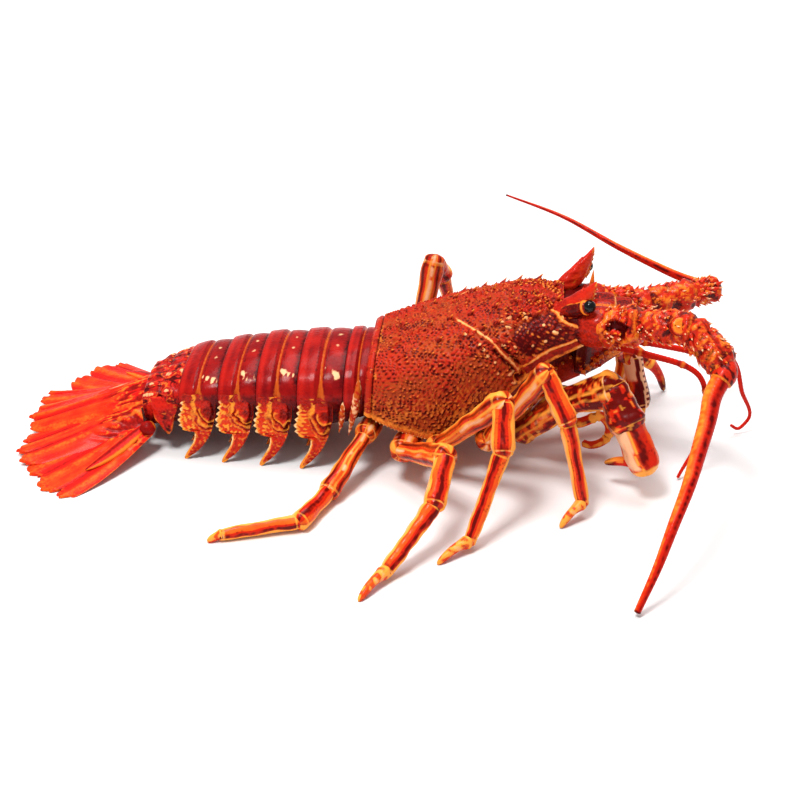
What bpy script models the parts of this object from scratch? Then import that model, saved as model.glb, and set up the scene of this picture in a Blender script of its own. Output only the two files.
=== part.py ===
"""A cooked spiny lobster, whole, as it lies on a table.

The body lies along X with the head at +X and the animal's left side at +Y. It rests on
the spikes under its tail, on its tail fan and on the tips of its legs. Lengths inside
the functions are millimetres in the body's own frame, whose X axis is the midline and
whose floor is Z = 0. Each finished object is scaled to metres and moved so that the
origin lies under the middle of the whole animal.
"""

import math
import random

import bmesh
import bpy
import numpy as np
from mathutils import Matrix, Vector

MM = 0.001
MIDLINE = 17.0          # the body's midline lies this far to the left of the origin
GAP = 0.35              # clearance between neighbouring pieces of shell
WELD = 0.0005           # points nearer than this are one point
SEED = 11

# The shell of the head and thorax, as ribs from back to front. Each row gives the rib's
# place along the back (0 to 1), x and height of its top, half width and height of its
# widest point, and x, half width and height of its lower edge.
CARAPACE_RIBS = (
    (0.00, -5.0, 59.5, 32.5, 44.0, -6.5, 31.5, 31.0),
    (0.20, 14.0, 67.0, 36.5, 46.0, 12.5, 35.0, 24.5),
    (0.40, 33.0, 74.5, 36.5, 51.0, 31.0, 34.5, 21.5),
    (0.60, 52.0, 80.5, 33.5, 60.0, 51.5, 32.0, 34.0),
    (0.80, 70.0, 84.5, 28.5, 69.0, 73.0, 27.0, 55.0),
    (1.00, 86.0, 84.0, 22.5, 78.0, 96.0, 20.5, 70.5),
)
CARAPACE_SQUARENESS = 2.3      # exponent of the arch, 2 being an ellipse
CARAPACE_STATIONS = 16         # ribs that the shell is drawn with
ARCH_STEPS = 7                 # steps from the top of a rib to its widest point
HORN_BASE = (89.0, 14.5, 82.0)
HORN_TIP = (99.6, 19.5, 99.8)
HORN_LENGTH = 10.0             # half the horn's length along the body at its root
HORN_WIDTH = 4.6               # half its thickness there

# The tail, as arches from front to back: x, height of the top, half width, height where
# the side plates begin, and height of the belly.
TAIL_ARCHES = (
    (-6.0, 57.0, 29.5, 38.0, 27.0),
    (-16.0, 56.0, 31.0, 37.0, 24.0),
    (-39.0, 53.5, 31.0, 36.0, 21.0),
    (-59.0, 51.0, 30.0, 35.5, 20.0),
    (-78.0, 46.5, 28.5, 34.5, 19.0),
    (-98.0, 41.5, 26.0, 31.5, 16.5),
    (-118.5, 32.0, 19.5, 23.0, 11.0),
)
TERGITE_EDGES = (-8.6, -16.5, -39.0, -59.0, -78.0, -98.0, -118.0)
TERGITE_LIP = 1.5              # how far each plate's back rim stands over the next plate
TAIL_SQUARENESS = 2.2

# Side plates of the tail's second to fifth segments: outline from the plate's middle,
# as distance forward and share of the height from floor to root.
PLEURON_OUTLINE = (
    (9.0, 1.06), (8.8, 0.74), (6.8, 0.50), (4.6, 0.26), (1.5, 0.10), (-1.6, 0.004),
    (-3.0, 0.03), (-2.6, 0.20), (-1.8, 0.46), (-4.5, 0.44), (-7.2, 0.42), (-9.0, 0.52),
    (-9.4, 0.66), (-8.0, 0.82), (-7.0, 1.06),
)
PLEURON_THICKNESS = 3.0
PLEURON_MIDDLES = (-30.5, -50.5, -69.5, -88.5)

# The tail fan: root, end, half width at root and end, and how steeply a blade falls.
FAN_BLADES = {
    "telson": ((-119.2, 0.0, 26.5), (-183.5, -4.0, 4.3), 10.5, 15.0, 1.15),
    "uropod_inner_right": ((-121.4, -12.5, 18.5), (-179.5, -37.0, 2.1), 6.5, 13.5, 1.35),
    "uropod_inner_left": ((-119.6, 12.0, 19.0), (-184.5, 21.0, 2.1), 6.5, 10.5, 1.35),
    "uropod_outer_right": ((-118.6, -20.0, 11.5), (-160.5, -62.5, 0.3), 6.5, 18.0, 1.5),
    "uropod_outer_left": ((-118.6, 20.0, 11.5), (-168.0, 55.0, 0.3), 6.5, 18.0, 1.5),
}
BLADE_THICKNESS = 1.3

# Each leg: the hip, then length, heading and rise of the basal piece, upper leg, wrist
# and shank, and of the claw. A claw without a rise stands on the floor with its tip.
LEGS = {
    "leg_1_right": ((68, -11, 13), (35, -27, 46), (25, -24, 30), (17, -42, -51),
                    (24, -26, -62), (21, 154, -12)),
    "leg_1_left": ((70, 9, 19), (51, 17, 1), (16, 77, 58), (5, -48, 33),
                   (25, -55, -64), (16, -90, None)),
    "leg_2_right": ((52, -10, 13), (21, -88, 17), (56, -32, 57), (24, -34, -58),
                    (40, -48, -70), (16, -136, None)),
    "leg_2_left": ((52, 10, 14), (26, 76, 24), (44, 25, 38), (19, 15, -20),
                   (38, 10, -43), (22, 12, None)),
    "leg_3_right": ((34, -12, 13), (27, -100, 13), (54, -36, 46), (22, -86, -53),
                    (43, -123, -56), (19, -137, None)),
    "leg_3_left": ((34, 12, 13), (27, 100, 13), (48, 22, 25), (20, 60, -28),
                   (40, 128, -40), (17, 150, None)),
    "leg_4_right": ((18, -12, 16), (31, -100, 5), (41, -53, 24), (24, -100, -30),
                    (37, -127, -31), (20, -121, None)),
    "leg_4_left": ((18, 12, 16), (29, 107, 9), (56, 62, 65), (18, 75, -46),
                   (51, 70, -64), (14, 62, None)),
    "leg_5_right": ((-2, -11, 20), (22, -100, 3), (35, -117, -26), (26, -113, -2),
                    (36, -162, -3), (7, -159, None)),
    "leg_5_left": ((-2, 11, 20), (22, 100, 3), (35, 119, -26), (26, 122, -2),
                   (36, 166, -3), (14, 172, None)),
}
# Radii at the start and end of the five pieces of a leg, the front pair being stouter.
LEG_RADII = ((6.2, 5.4), (4.4, 5.2), (4.5, 4.6), (4.0, 2.9), (2.8, 0.35))
FRONT_LEG_RADII = ((7.4, 7.6), (7.8, 8.4), (8.0, 9.0), (8.4, 6.0), (3.4, 0.35))
LEG_STOUTNESS = {"leg_1_left": 0.6, "leg_2_left": 1.2, "leg_3_right": 1.05,
                 "leg_3_left": 1.05, "leg_4_right": 1.08, "leg_4_left": 1.08,
                 "leg_5_right": 0.95, "leg_5_left": 0.95}
CLAW_BEND = 0.10               # sag of a claw's middle as a share of its length

# The antennae: points where the pieces of the stalk meet, the radius of each piece, and
# the route of the whip, right (bent down to the table) and left (swept back).
ANTENNA_STALKS = {
    "right": (((88, -12, 74), (105, -19, 76.5), (119, -23.5, 80.5), (143, -32, 84.5),
               (158, -42.5, 71.5)), (9.2, 8.8, 7.0, 6.9)),
    "left": (((86, 13, 72), (104, 17, 71), (118, 21, 68.5), (149, 31, 71.5),
              (162, 38.5, 72)), (10.0, 9.0, 7.2, 5.6)),
}
WHIP_ROUTES = {
    "right": ((158.0, -46.5, 70.5), (152.5, -55.0, 63.5), (150.0, -65.0, 57.5),
              (145.5, -80.0, 50.0), (140.2, -97.0, 42.0), (133.6, -112.0, 31.4),
              (127.4, -124.0, 18.3), (119.5, -134.5, 1.8)),
    "left": ((160.0, 43.5, 70.5), (148.0, 47.0, 72.5), (130.5, 53.0, 77.7),
             (115.0, 60.0, 82.5), (87.0, 75.0, 91.7), (56.0, 90.0, 97.2)),
}
WHIP_RADII = {"right": (4.7, 1.5), "left": (2.5, 0.5)}
WHIP_POINTS = 16               # rings along a whip
SOCKET_POINTS = 6              # those of them that the stalk is hollowed out for
THORN_COUNTS = (4, 6, 6)       # thorns on the second to last pieces of a stalk
THORN_LENGTH = 4.6
FEELER_ROUTES = {
    "right": ((108.0, -4.5, 60.0), (125.0, -5.0, 56.5), (153.5, -9.0, 46.0),
              (156.0, -18.0, 26.0), (145.0, -27.5, 1.0)),
    "left": ((108.0, 4.5, 60.0), (125.5, 5.0, 57.5), (150.0, 7.5, 52.0),
             (170.0, 11.5, 46.5), (177.5, 14.0, 27.5), (183.0, 19.0, 7.5),
             (179.0, 18.0, 3.4), (174.5, 16.0, 6.5)),
}
FEELER_RADII = (1.9, 0.8)
FEELER_POINTS = 15
MOUTHPART_ROUTES = {
    "right": ((80.0, -5.0, 43.0), (85.0, -6.0, 25.0), (92.0, -6.0, 16.5),
              (97.0, -6.0, 16.8), (108.7, -6.0, 20.8), (112.0, -6.0, 16.1),
              (112.0, -6.0, 10.2), (108.5, -6.0, 6.0), (103.6, -6.0, 4.3),
              (99.3, -6.0, 5.5)),
    "left": ((80.0, 5.0, 43.0), (87.0, 6.0, 28.0), (96.0, 6.0, 24.0),
             (104.0, 5.5, 24.5), (110.0, 4.5, 20.0)),
}
MOUTHPART_RADII = (3.2, 1.9)
MOUTHPART_POINTS = 17
EYE_PLACE = (97.2, 22.5, 88.6)
EYE_RADIUS = 3.0


def smooth(knots, t):
    """The values at t of a smooth curve through rows of a place and its values."""
    table = np.asarray(knots, float)
    places, values = table[:, 0], table[:, 1:]
    slopes = np.gradient(values, places, axis=0)
    i = int(np.clip(np.searchsorted(places, t) - 1, 0, len(places) - 2))
    span = places[i + 1] - places[i]
    u = (t - places[i]) / span
    return ((1 + 2 * u) * (1 - u) ** 2 * values[i] + u * (1 - u) ** 2 * span * slopes[i]
            + u * u * (3 - 2 * u) * values[i + 1] - u * u * (1 - u) * span * slopes[i + 1])


def through(route, count):
    """Points evenly spread by parameter on a smooth curve through a route's points."""
    lengths = [0.0]
    for a, b in zip(route[:-1], route[1:]):
        lengths.append(lengths[-1] + (Vector(b) - Vector(a)).length)
    knots = [(length, *point) for length, point in zip(lengths, route)]
    return [Vector(smooth(knots, lengths[-1] * i / (count - 1))) for i in range(count)]


def heading(length, turn, rise):
    """A step of a given length: turn from +X towards +Y, and rise, in degrees."""
    turn, rise = math.radians(turn), math.radians(rise)
    level = length * math.cos(rise)
    return Vector((level * math.cos(turn), level * math.sin(turn),
                   length * math.sin(rise)))


def loft(rings):
    """A closed skin through rings of equally many points, its two ends capped."""
    around, along = len(rings[0]), len(rings) - 1
    bm = bmesh.new()
    bmesh.ops.create_grid(bm, x_segments=around, y_segments=along, size=1)
    for vert in bm.verts:
        i = round((vert.co.x + 1) / 2 * around) % around
        j = round((vert.co.y + 1) / 2 * along)
        vert.co = rings[j][i]
    bmesh.ops.remove_doubles(bm, verts=bm.verts, dist=WELD)
    bmesh.ops.holes_fill(bm, edges=bm.edges)
    bmesh.ops.recalc_face_normals(bm, faces=bm.faces)
    return bm


def oval(centre, side, up, half_width, half_height, count, squareness=2.0):
    """Points round a superellipse that lies across a piece."""
    ring = []
    for i in range(count):
        turn = math.tau * (i + 0.5) / count
        c, s = math.cos(turn), math.sin(turn)
        out = half_width * math.copysign(abs(c) ** (2 / squareness), c)
        rise = half_height * math.copysign(abs(s) ** (2 / squareness), s)
        ring.append(centre + side * out + up * rise)
    return ring


def across(direction):
    """Two directions square to a piece's own, the first one level where possible."""
    direction = direction.normalized()
    upright = Vector((0, 0, 1)) if abs(direction.z) < 0.9 else Vector((1, 0, 0))
    side = direction.cross(upright).normalized()
    return side, side.cross(direction).normalized()


def taper(first, last, count):
    """Evenly changing radii."""
    return [first + (last - first) * i / (count - 1) for i in range(count)]


def tube(path, radii, sides):
    """A round bar along a path, with a radius at each of its points."""
    rings = []
    side = across(path[1] - path[0])[0]
    for i, (point, radius) in enumerate(zip(path, radii)):
        ahead = (path[min(i + 1, len(path) - 1)] - path[max(i - 1, 0)]).normalized()
        side = (side - ahead * side.dot(ahead)).normalized()
        rings.append(oval(point, side, side.cross(ahead), radius, radius, sides))
    return loft(rings)


def spine(foot, direction, length, radius):
    """A four-sided thorn, sunk a little into what carries it."""
    bm = bmesh.new()
    bmesh.ops.create_cone(bm, segments=4, radius1=radius, radius2=radius * 0.08,
                          depth=length, cap_ends=True)
    bmesh.ops.translate(bm, verts=bm.verts, vec=(0, 0, length * 0.5 - radius * 0.7))
    turn = direction.to_track_quat("Z", "Y").to_matrix().to_4x4()
    bmesh.ops.transform(bm, verts=bm.verts, matrix=Matrix.Translation(foot) @ turn)
    return bm


def shell_material(name, colour, roughness):
    """Boiled shell: a plain Principled surface in the piece's main colour."""
    material = bpy.data.materials.new(name)
    material.use_nodes = True
    surface = material.node_tree.nodes["Principled BSDF"]
    surface.inputs["Base Color"].default_value = (*colour, 1)
    surface.inputs["Roughness"].default_value = roughness
    surface.inputs["Metallic"].default_value = 0.0
    material.diffuse_color = (*colour, 1)
    return material


def helper(bm, collection):
    """A temporary object for a Boolean."""
    mesh = bpy.data.meshes.new("helper")
    bm.to_mesh(mesh)
    bm.free()
    obj = bpy.data.objects.new("helper", mesh)
    collection.objects.link(obj)
    return obj


def combine(pieces, cutters=()):
    """One closed mesh: the union of the pieces, with the cutters taken away."""
    scene = bpy.context.scene.collection
    groups = []
    base = helper(pieces[0], scene)
    for operation, members in (("UNION", pieces[1:]), ("DIFFERENCE", cutters)):
        if not members:
            continue
        group = bpy.data.collections.new(operation)
        scene.children.link(group)
        groups.append(group)
        for member in members:
            helper(member, group)
        modifier = base.modifiers.new(operation, "BOOLEAN")
        modifier.operation = operation
        modifier.operand_type = "COLLECTION"
        modifier.collection = group
        modifier.solver = "EXACT"
    graph = bpy.context.evaluated_depsgraph_get()
    mesh = bpy.data.meshes.new_from_object(base.evaluated_get(graph))
    for group in groups:
        for obj in list(group.objects):
            bpy.data.objects.remove(obj)
        bpy.data.collections.remove(group)
    bpy.data.objects.remove(base)
    bm = bmesh.new()
    bm.from_mesh(mesh)
    bpy.data.meshes.remove(mesh)
    bmesh.ops.remove_doubles(bm, verts=bm.verts, dist=WELD)
    bmesh.ops.dissolve_degenerate(bm, edges=bm.edges, dist=WELD)
    return bm


def add_part(name, bm, material):
    """Makes the finished object in metres, shaded smooth with its sharp edges kept."""
    bmesh.ops.scale(bm, verts=bm.verts, vec=(MM, MM, MM))
    bmesh.ops.triangulate(bm, faces=bm.faces)
    mesh = bpy.data.meshes.new(name)
    bm.to_mesh(mesh)
    bm.free()
    mesh.shade_smooth()
    mesh.set_sharp_from_angle(angle=math.radians(40))
    mesh.materials.append(material)
    obj = bpy.data.objects.new(name, mesh)
    obj.location = (0, MIDLINE * MM, 0)
    bpy.context.scene.collection.objects.link(obj)
    return obj


def carapace_rib(t, grow=0.0):
    """Half a rib of the back shell, from its top down to its lower edge."""
    top_x, top_z, wide_y, wide_z, edge_x, edge_y, edge_z = smooth(CARAPACE_RIBS, t)
    power = 2 / CARAPACE_SQUARENESS
    points = []
    for step in range(ARCH_STEPS + 1):
        turn = math.radians(90 * step / ARCH_STEPS)
        y = wide_y * math.sin(turn) ** power
        z = wide_z + (top_z - wide_z) * math.cos(turn) ** power
        points.append((y, z))
    points.append((edge_y + (wide_y - edge_y) * 0.7, (wide_z + edge_z) / 2))
    points.append((edge_y, edge_z))
    rib = []
    for y, z in points:
        down = (top_z - z) / (top_z - edge_z)
        middle = (top_z + edge_z) / 2
        rib.append(Vector((top_x + (edge_x - top_x) * down, y * (1 + grow / wide_y),
                           z + grow * (z - middle) / (top_z - middle))))
    return rib


def carapace_rings(grow=0.0):
    """Closed ribs of the back shell, flat underneath."""
    rings = []
    for t in np.linspace(0, 1, CARAPACE_STATIONS):
        half = carapace_rib(t, grow)
        other = [Vector((p.x, -p.y, p.z)) for p in reversed(half[1:])]
        rings.append(half + other)
    if grow:
        for ring, push in ((rings[0], -grow), (rings[-1], grow)):
            for point in ring:
                point.x += push * 1.3
    return rings


def on_carapace(t, share, side):
    """A point on the back shell and the way out of it. share runs down the rib."""
    def place(t, share):
        half = carapace_rib(t)
        at = share * (len(half) - 1)
        i = min(int(at), len(half) - 2)
        point = half[i].lerp(half[i + 1], at - i)
        return Vector((point.x, side * point.y, point.z))
    here = place(t, share)
    along = place(min(t + 0.02, 1), share) - place(max(t - 0.02, 0), share)
    down = place(t, min(share + 0.04, 1)) - place(t, max(share - 0.04, 0))
    out = along.cross(down).normalized()
    return here, out if out.dot(here - Vector((here.x, 0, 50))) > 0 else -out


def horn(side, grow=0.0):
    """The broad flat horn over an eye."""
    base = Vector((HORN_BASE[0], side * HORN_BASE[1], HORN_BASE[2]))
    tip = Vector((HORN_TIP[0], side * HORN_TIP[1], HORN_TIP[2]))
    base -= (tip - base).normalized() * 1.5 * grow
    rings = []
    for share, sweep in ((0.0, -1.5), (0.3, -1.2), (0.6, -0.6), (0.85, 0.2), (1.0, 0.0)):
        centre = base.lerp(tip, share) + Vector((sweep, 0, 0))
        width = 1 - share * 0.96
        rings.append(oval(centre, Vector((1, 0, 0.25)), Vector((0, 1, 0)),
                          HORN_LENGTH * width + grow, HORN_WIDTH * width ** 0.7 + grow, 8))
    return loft(rings)


def carapace_spines():
    """Rows of thorns along the back and cheeks, larger towards the head."""
    rng = random.Random(SEED)
    rows = ((0.13, 0.30, 0.93, 7), (0.34, 0.36, 0.93, 7), (0.56, 0.62, 0.90, 5))
    thorns = []
    for share, first, last, count in rows:
        for i in range(count):
            t = first + (last - first) * i / (count - 1)
            for side in (-1, 1):
                foot, out = on_carapace(t + rng.uniform(-0.012, 0.012),
                                        share + rng.uniform(-0.02, 0.02), side)
                length = 4.2 + 2.2 * t + rng.uniform(-0.5, 0.5)
                lean = (out + Vector((0.75, 0, 0.1))).normalized()
                thorns.append(spine(foot, lean, length, length * 0.36))
    return thorns


def make_carapace(material):
    pieces = [loft(carapace_rings()), horn(-1), horn(1)] + carapace_spines()
    return add_part("carapace", combine(pieces), material)


def underside_rings(grow=0.0):
    """The breast plate and mouth floor, close under the back shell."""
    knots = ((0.00, 11.0, 22.0), (0.20, 14.0, 12.0), (0.40, 14.0, 10.5), (0.60, 13.0, 16.0),
             (0.80, 10.0, 31.0), (1.00, 8.0, 43.0))
    rings = []
    for t in np.linspace(0, 1, CARAPACE_STATIONS):
        edge = carapace_rib(t)[-1]
        half_width, low = smooth(knots, t)
        high = edge.z - 2.2 * GAP
        if grow:
            half_width, low, high = half_width + 1.3 * grow, low - 1.6 * grow, edge.z
        deep = low + (high - low) * 0.35
        rings.append([Vector((edge.x, y, z)) for y, z in (
            (half_width, high), (half_width + 1, deep), (half_width * 0.55, low),
            (-half_width * 0.55, low), (-half_width - 1, deep), (-half_width, high))])
    for ring, push in ((rings[0], -grow), (rings[-1], grow)):
        for point in ring:
            point.x += push
    return rings


def make_underside(material):
    return add_part("thorax_underside", loft(underside_rings()), material)


def head_front_rings(grow=0.0):
    """The block between the antennae, from the back shell's front edge forward."""
    half_width, slope = 8.0 + grow, 0.667
    rings = []
    for forward, low, high, narrow in ((0.9, 44.0, 83.0, 0.03), (0.9, 44.0, 83.0, 1.0),
                                       (8.0, 46.0, 83.0, 1.0), (15.0, 51.0, 80.0, 0.9),
                                       (21.0, 55.0, 74.0, 0.6)):
        ring = []
        for y, z in ((1, 0.25), (0.7, 0.0), (-0.7, 0.0), (-1, 0.25), (-1, 0.8),
                     (-0.5, 1.0), (0.5, 1.0), (1, 0.8)):
            height = low - grow + (high - low + 2 * grow) * z
            lean = min(86.0 + (86.0 - height) * slope, 96.0) if forward < 5 else 95.0
            ring.append(Vector((lean + forward + (grow if forward > 20 else -grow),
                                y * half_width * narrow, height)))
        rings.append(ring)
    return rings


def make_head_front(material):
    thorn = spine(Vector((98.5, 0, 82)), Vector((0.04, 0, 1)), 18.0, 2.6)
    pieces = [loft(head_front_rings()), thorn]
    cutters = [loft(carapace_rings(GAP)), loft(underside_rings(GAP))]
    return add_part("head_front", combine(pieces, cutters), material)


def tail_ring(x, swell=0.0):
    """A closed section of the tail: arch, side roots and belly."""
    top, half_width, root, belly = smooth([(-row[0], *row[1:]) for row in TAIL_ARCHES], -x)
    top, half_width = top + swell, half_width + swell
    power = 2 / TAIL_SQUARENESS
    ring = []
    for step in range(11):
        turn = math.radians(180 * step / 10)
        c, s = math.cos(turn), math.sin(turn)
        y = half_width * math.copysign(abs(c) ** power, c)
        ring.append(Vector((x, y, root + (top - root) * s ** power)))
    low = half_width - 4.0
    ring += [Vector((x, -low, belly)), Vector((x, 0, belly + 1.5)), Vector((x, low, belly))]
    return ring


def pleuron(middle, side):
    """A side plate that hangs from the arch, lobed behind and drawn out to a spike."""
    half_width, root = smooth([(-row[0], *row[1:]) for row in TAIL_ARCHES], -middle)[1:3]
    bm = bmesh.new()
    outer = side * (half_width - 0.6)
    corners = []
    for forward, height in PLEURON_OUTLINE:
        bulge = 1.3 * math.sin(math.pi * min(height, 1.0)) - 2.2 * max(0.0, 0.35 - height)
        corners.append(bm.verts.new((middle + forward, outer + side * bulge,
                                     max(root * height, 0.0))))
    face = bm.faces.new(corners)
    grown = bmesh.ops.extrude_face_region(bm, geom=[face])
    moved = [item for item in grown["geom"] if isinstance(item, bmesh.types.BMVert)]
    bmesh.ops.translate(bm, verts=moved, vec=(0, -side * PLEURON_THICKNESS, 0))
    bmesh.ops.triangulate(bm, faces=bm.faces)
    bmesh.ops.recalc_face_normals(bm, faces=bm.faces)
    return bm


def make_tail(material):
    """The six plated segments of the tail."""
    for number, (front, rear) in enumerate(zip(TERGITE_EDGES[:-1], TERGITE_EDGES[1:]), 1):
        front -= GAP if number > 1 else 0
        profile = ((0.0, -TERGITE_LIP), (0.35, -0.5), (0.5, -1.1), (0.62, 0.0), (1.0, 0.0))
        rings = [tail_ring(front + (rear - front) * share, swell)
                 for share, swell in profile]
        pieces = [loft(rings)]
        if 2 <= number <= 5:
            pieces += [pleuron(PLEURON_MIDDLES[number - 2], side) for side in (-1, 1)]
        if number == 1:
            pieces += [spine(Vector((-12.5, side * 29.0, 28.0)), Vector((0, side * 0.1, -1)),
                             16.0, 3.4) for side in (-1, 1)]
        if number == 6:
            pieces += [spine(Vector((-107.0, side * 21.5, 17.0)),
                             Vector((-0.25, side * 0.2, -1)), 9.0, 3.0) for side in (-1, 1)]
        add_part(f"tail_segment_{number}", combine(pieces), material)


def swimmeret(middle, side):
    """A small leaf under the belly, thin and curved."""
    belly = smooth([(-row[0], *row[1:]) for row in TAIL_ARCHES], -middle)[3]
    bm = bmesh.new()
    bmesh.ops.create_grid(bm, x_segments=3, y_segments=4, size=1)
    length = belly - 4.0
    for vert in bm.verts:
        wide, down = vert.co.x, (1 - vert.co.y) / 2
        half = 5.5 * math.sin(math.pi * (0.18 + 0.72 * down)) ** 0.8
        vert.co = Vector((middle - 6.0 * down ** 1.5,
                          side * 16.0 + wide * half,
                          belly - GAP - 0.6 - length * down + 0.8 * wide * wide))
    bmesh.ops.triangulate(bm, faces=bm.faces)
    grown = bmesh.ops.extrude_face_region(bm, geom=bm.faces[:])
    moved = [item for item in grown["geom"] if isinstance(item, bmesh.types.BMVert)]
    bmesh.ops.translate(bm, verts=moved, vec=(1.2, 0, 0))
    bmesh.ops.recalc_face_normals(bm, faces=bm.faces)
    return bm


def make_swimmerets(material):
    for number, middle in enumerate(PLEURON_MIDDLES, 2):
        for name, side in (("right", -1), ("left", 1)):
            add_part(f"swimmeret_{number}_{name}", swimmeret(middle - 1.0, side), material)


def blade(root, end, root_half, end_half, fall):
    """A thin fan blade: ribbed along its length and notched at its end."""
    columns, rows = 8, 8
    root, end = Vector(root), Vector(end)
    ahead = Vector((end.x - root.x, end.y - root.y, 0))
    side = Vector((-ahead.y, ahead.x, 0)).normalized()
    bm = bmesh.new()
    bmesh.ops.create_grid(bm, x_segments=columns, y_segments=rows, size=1)
    for vert in bm.verts:
        wide, along = vert.co.x, (vert.co.y + 1) / 2
        notch = 0.035 * (round((wide + 1) / 2 * columns) % 2)
        reach = along * (1 - notch - 0.13 * abs(wide) ** 3)
        half = root_half + (end_half - root_half) * math.sin(math.pi / 2 * along) ** 0.8
        drop = (1 - along) ** fall
        ridge = 0.8 * (1 - wide * wide) * (1 - along)
        point = root + ahead * reach + side * wide * half
        vert.co = Vector((point.x, point.y, end.z + (root.z - end.z) * drop + ridge))
    bmesh.ops.triangulate(bm, faces=bm.faces)
    grown = bmesh.ops.extrude_face_region(bm, geom=bm.faces[:])
    moved = [item for item in grown["geom"] if isinstance(item, bmesh.types.BMVert)]
    bmesh.ops.translate(bm, verts=moved, vec=(0, 0, BLADE_THICKNESS))
    bmesh.ops.recalc_face_normals(bm, faces=bm.faces)
    return bm


def make_fan(material):
    for name, (root, end, root_half, end_half, fall) in FAN_BLADES.items():
        add_part(name, blade(root, end, root_half, end_half, fall), material)


def limb_piece(start, end, first_radius, last_radius, sides=6):
    """One stiff piece of a limb: a narrow neck, a belly and a thickened far rim."""
    ahead = (end - start).normalized()
    side, up = across(ahead)
    begin = start - ahead * first_radius * 0.35
    rings = []
    for share, swell in ((0.0, 0.62), (0.16, 1.0), (0.55, 0.98), (0.9, 1.04), (1.0, 0.8)):
        radius = swell * (first_radius + (last_radius - first_radius) * share)
        centre = begin.lerp(end + ahead * last_radius * 0.25, share)
        rings.append(oval(centre, side, up, radius, radius, sides))
    return loft(rings)


def claw(start, end, first_radius, last_radius):
    """The last piece of a leg: a curved spike."""
    ahead = (end - start).normalized()
    side, up = across(ahead)
    rings = []
    for share in (0.0, 0.35, 0.7, 1.0):
        bow = up * (end - start).length * CLAW_BEND * math.sin(math.pi * share)
        radius = first_radius + (last_radius - first_radius) * share ** 1.3
        begin = start - ahead * first_radius * 0.35
        rings.append(oval(begin.lerp(end, share) + bow, side, up, radius, radius, 6))
    return loft(rings)


def leg_joints(pose):
    """The points where a leg's pieces meet, from the hip to the tip of the claw."""
    joints = [Vector(pose[0])]
    for length, turn, rise in pose[1:]:
        if rise is None:
            rise = math.degrees(math.asin((LEG_RADII[-1][1] - joints[-1].z) / length))
        joints.append(joints[-1] + heading(length, turn, rise))
    return joints


def make_leg(name, pose, material):
    stout = LEG_STOUTNESS.get(name, 1.0)
    joints = leg_joints(pose)
    radii = FRONT_LEG_RADII if name.startswith("leg_1") else LEG_RADII
    pieces = []
    for i, (first, last) in enumerate(radii):
        build = claw if i == 4 else limb_piece
        tip = last if i == 4 else last * stout
        pieces.append(build(joints[i], joints[i + 1], first * stout, tip))
    cutters = [loft(carapace_rings(GAP)), loft(underside_rings(1.5 * GAP))]
    return add_part(name, combine(pieces, cutters), material)


def make_antenna(name, material, whip_material):
    """The thick thorny stalk of an antenna, and the whip that grows from it."""
    points, radii = ANTENNA_STALKS[name]
    joints = [Vector(point) for point in points]
    pieces = [limb_piece(a, b, radius, radius, 8)
              for a, b, radius in zip(joints[:-1], joints[1:], radii)]
    rng = random.Random(SEED + len(name))
    for (a, b), radius, count in zip(zip(joints[1:-1], joints[2:]), radii[1:], THORN_COUNTS):
        side, up = across(b - a)
        for i in range(count):
            turn = math.tau * (i * 0.618 + rng.uniform(-0.03, 0.03))
            out = side * math.cos(turn) + up * math.sin(turn)
            foot = a.lerp(b, 0.25 + 0.6 * i / count) + out * radius * 0.9
            lean = (out + (b - a).normalized() * 0.7).normalized()
            pieces.append(spine(foot, lean, THORN_LENGTH, THORN_LENGTH * 0.37))
    route = through(WHIP_ROUTES[name], WHIP_POINTS)
    swell = taper(*WHIP_RADII[name], WHIP_POINTS)
    start = route[0] + (route[0] - route[1]).normalized() * GAP
    socket = tube([start] + route[1:SOCKET_POINTS],
                  [radius + GAP for radius in swell[:SOCKET_POINTS]], 8)
    side = -1 if name == "right" else 1
    cutters = [loft(carapace_rings(GAP)), loft(head_front_rings(2 * GAP)),
               loft(underside_rings(GAP)), horn(side, GAP), *eye_pieces(side, GAP),
               socket]
    add_part(f"antenna_stalk_{name}", combine(pieces, cutters), material)
    add_part(f"antenna_whip_{name}", tube(route, swell, 8), whip_material)


def make_feeler(name, material):
    """One of the two thin feelers between the antennae."""
    route = through(FEELER_ROUTES[name], FEELER_POINTS)
    bar = tube(route, taper(*FEELER_RADII, FEELER_POINTS), 6)
    cutters = [loft(head_front_rings(GAP))]
    add_part(f"feeler_{name}", combine([bar], cutters), material)


def eye_pieces(side, grow=0.0):
    """A ball on a short stalk, in the notch under the horn."""
    ball = bmesh.new()
    place = Vector((EYE_PLACE[0], side * EYE_PLACE[1], EYE_PLACE[2]))
    bmesh.ops.create_icosphere(ball, subdivisions=2, radius=EYE_RADIUS + grow)
    bmesh.ops.translate(ball, verts=ball.verts, vec=place)
    root = Vector((102.0, side * 8.0, 81.5))
    root -= (place - root).normalized() * grow
    radii = [radius + grow for radius in (2.0, 1.8, 2.2)]
    bend = root.lerp(place, 0.5) + Vector((2.5, 0, 0))
    return [ball, tube([root, bend, place], radii, 6)]


def make_eye(name, side, material):
    cutters = [loft(carapace_rings(GAP)), loft(head_front_rings(GAP)), horn(side, GAP)]
    add_part(f"eye_{name}", combine(eye_pieces(side), cutters), material)


def make_mouthpart(name, material):
    """One of the two leg-like mouthparts under the head, the left one folded up."""
    route = through(MOUTHPART_ROUTES[name], MOUTHPART_POINTS)
    bar = tube(route, taper(*MOUTHPART_RADII, MOUTHPART_POINTS), 6)
    cutters = [loft(underside_rings(GAP)), loft(carapace_rings(GAP))]
    add_part(f"mouthpart_{name}", combine([bar], cutters), material)


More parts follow.
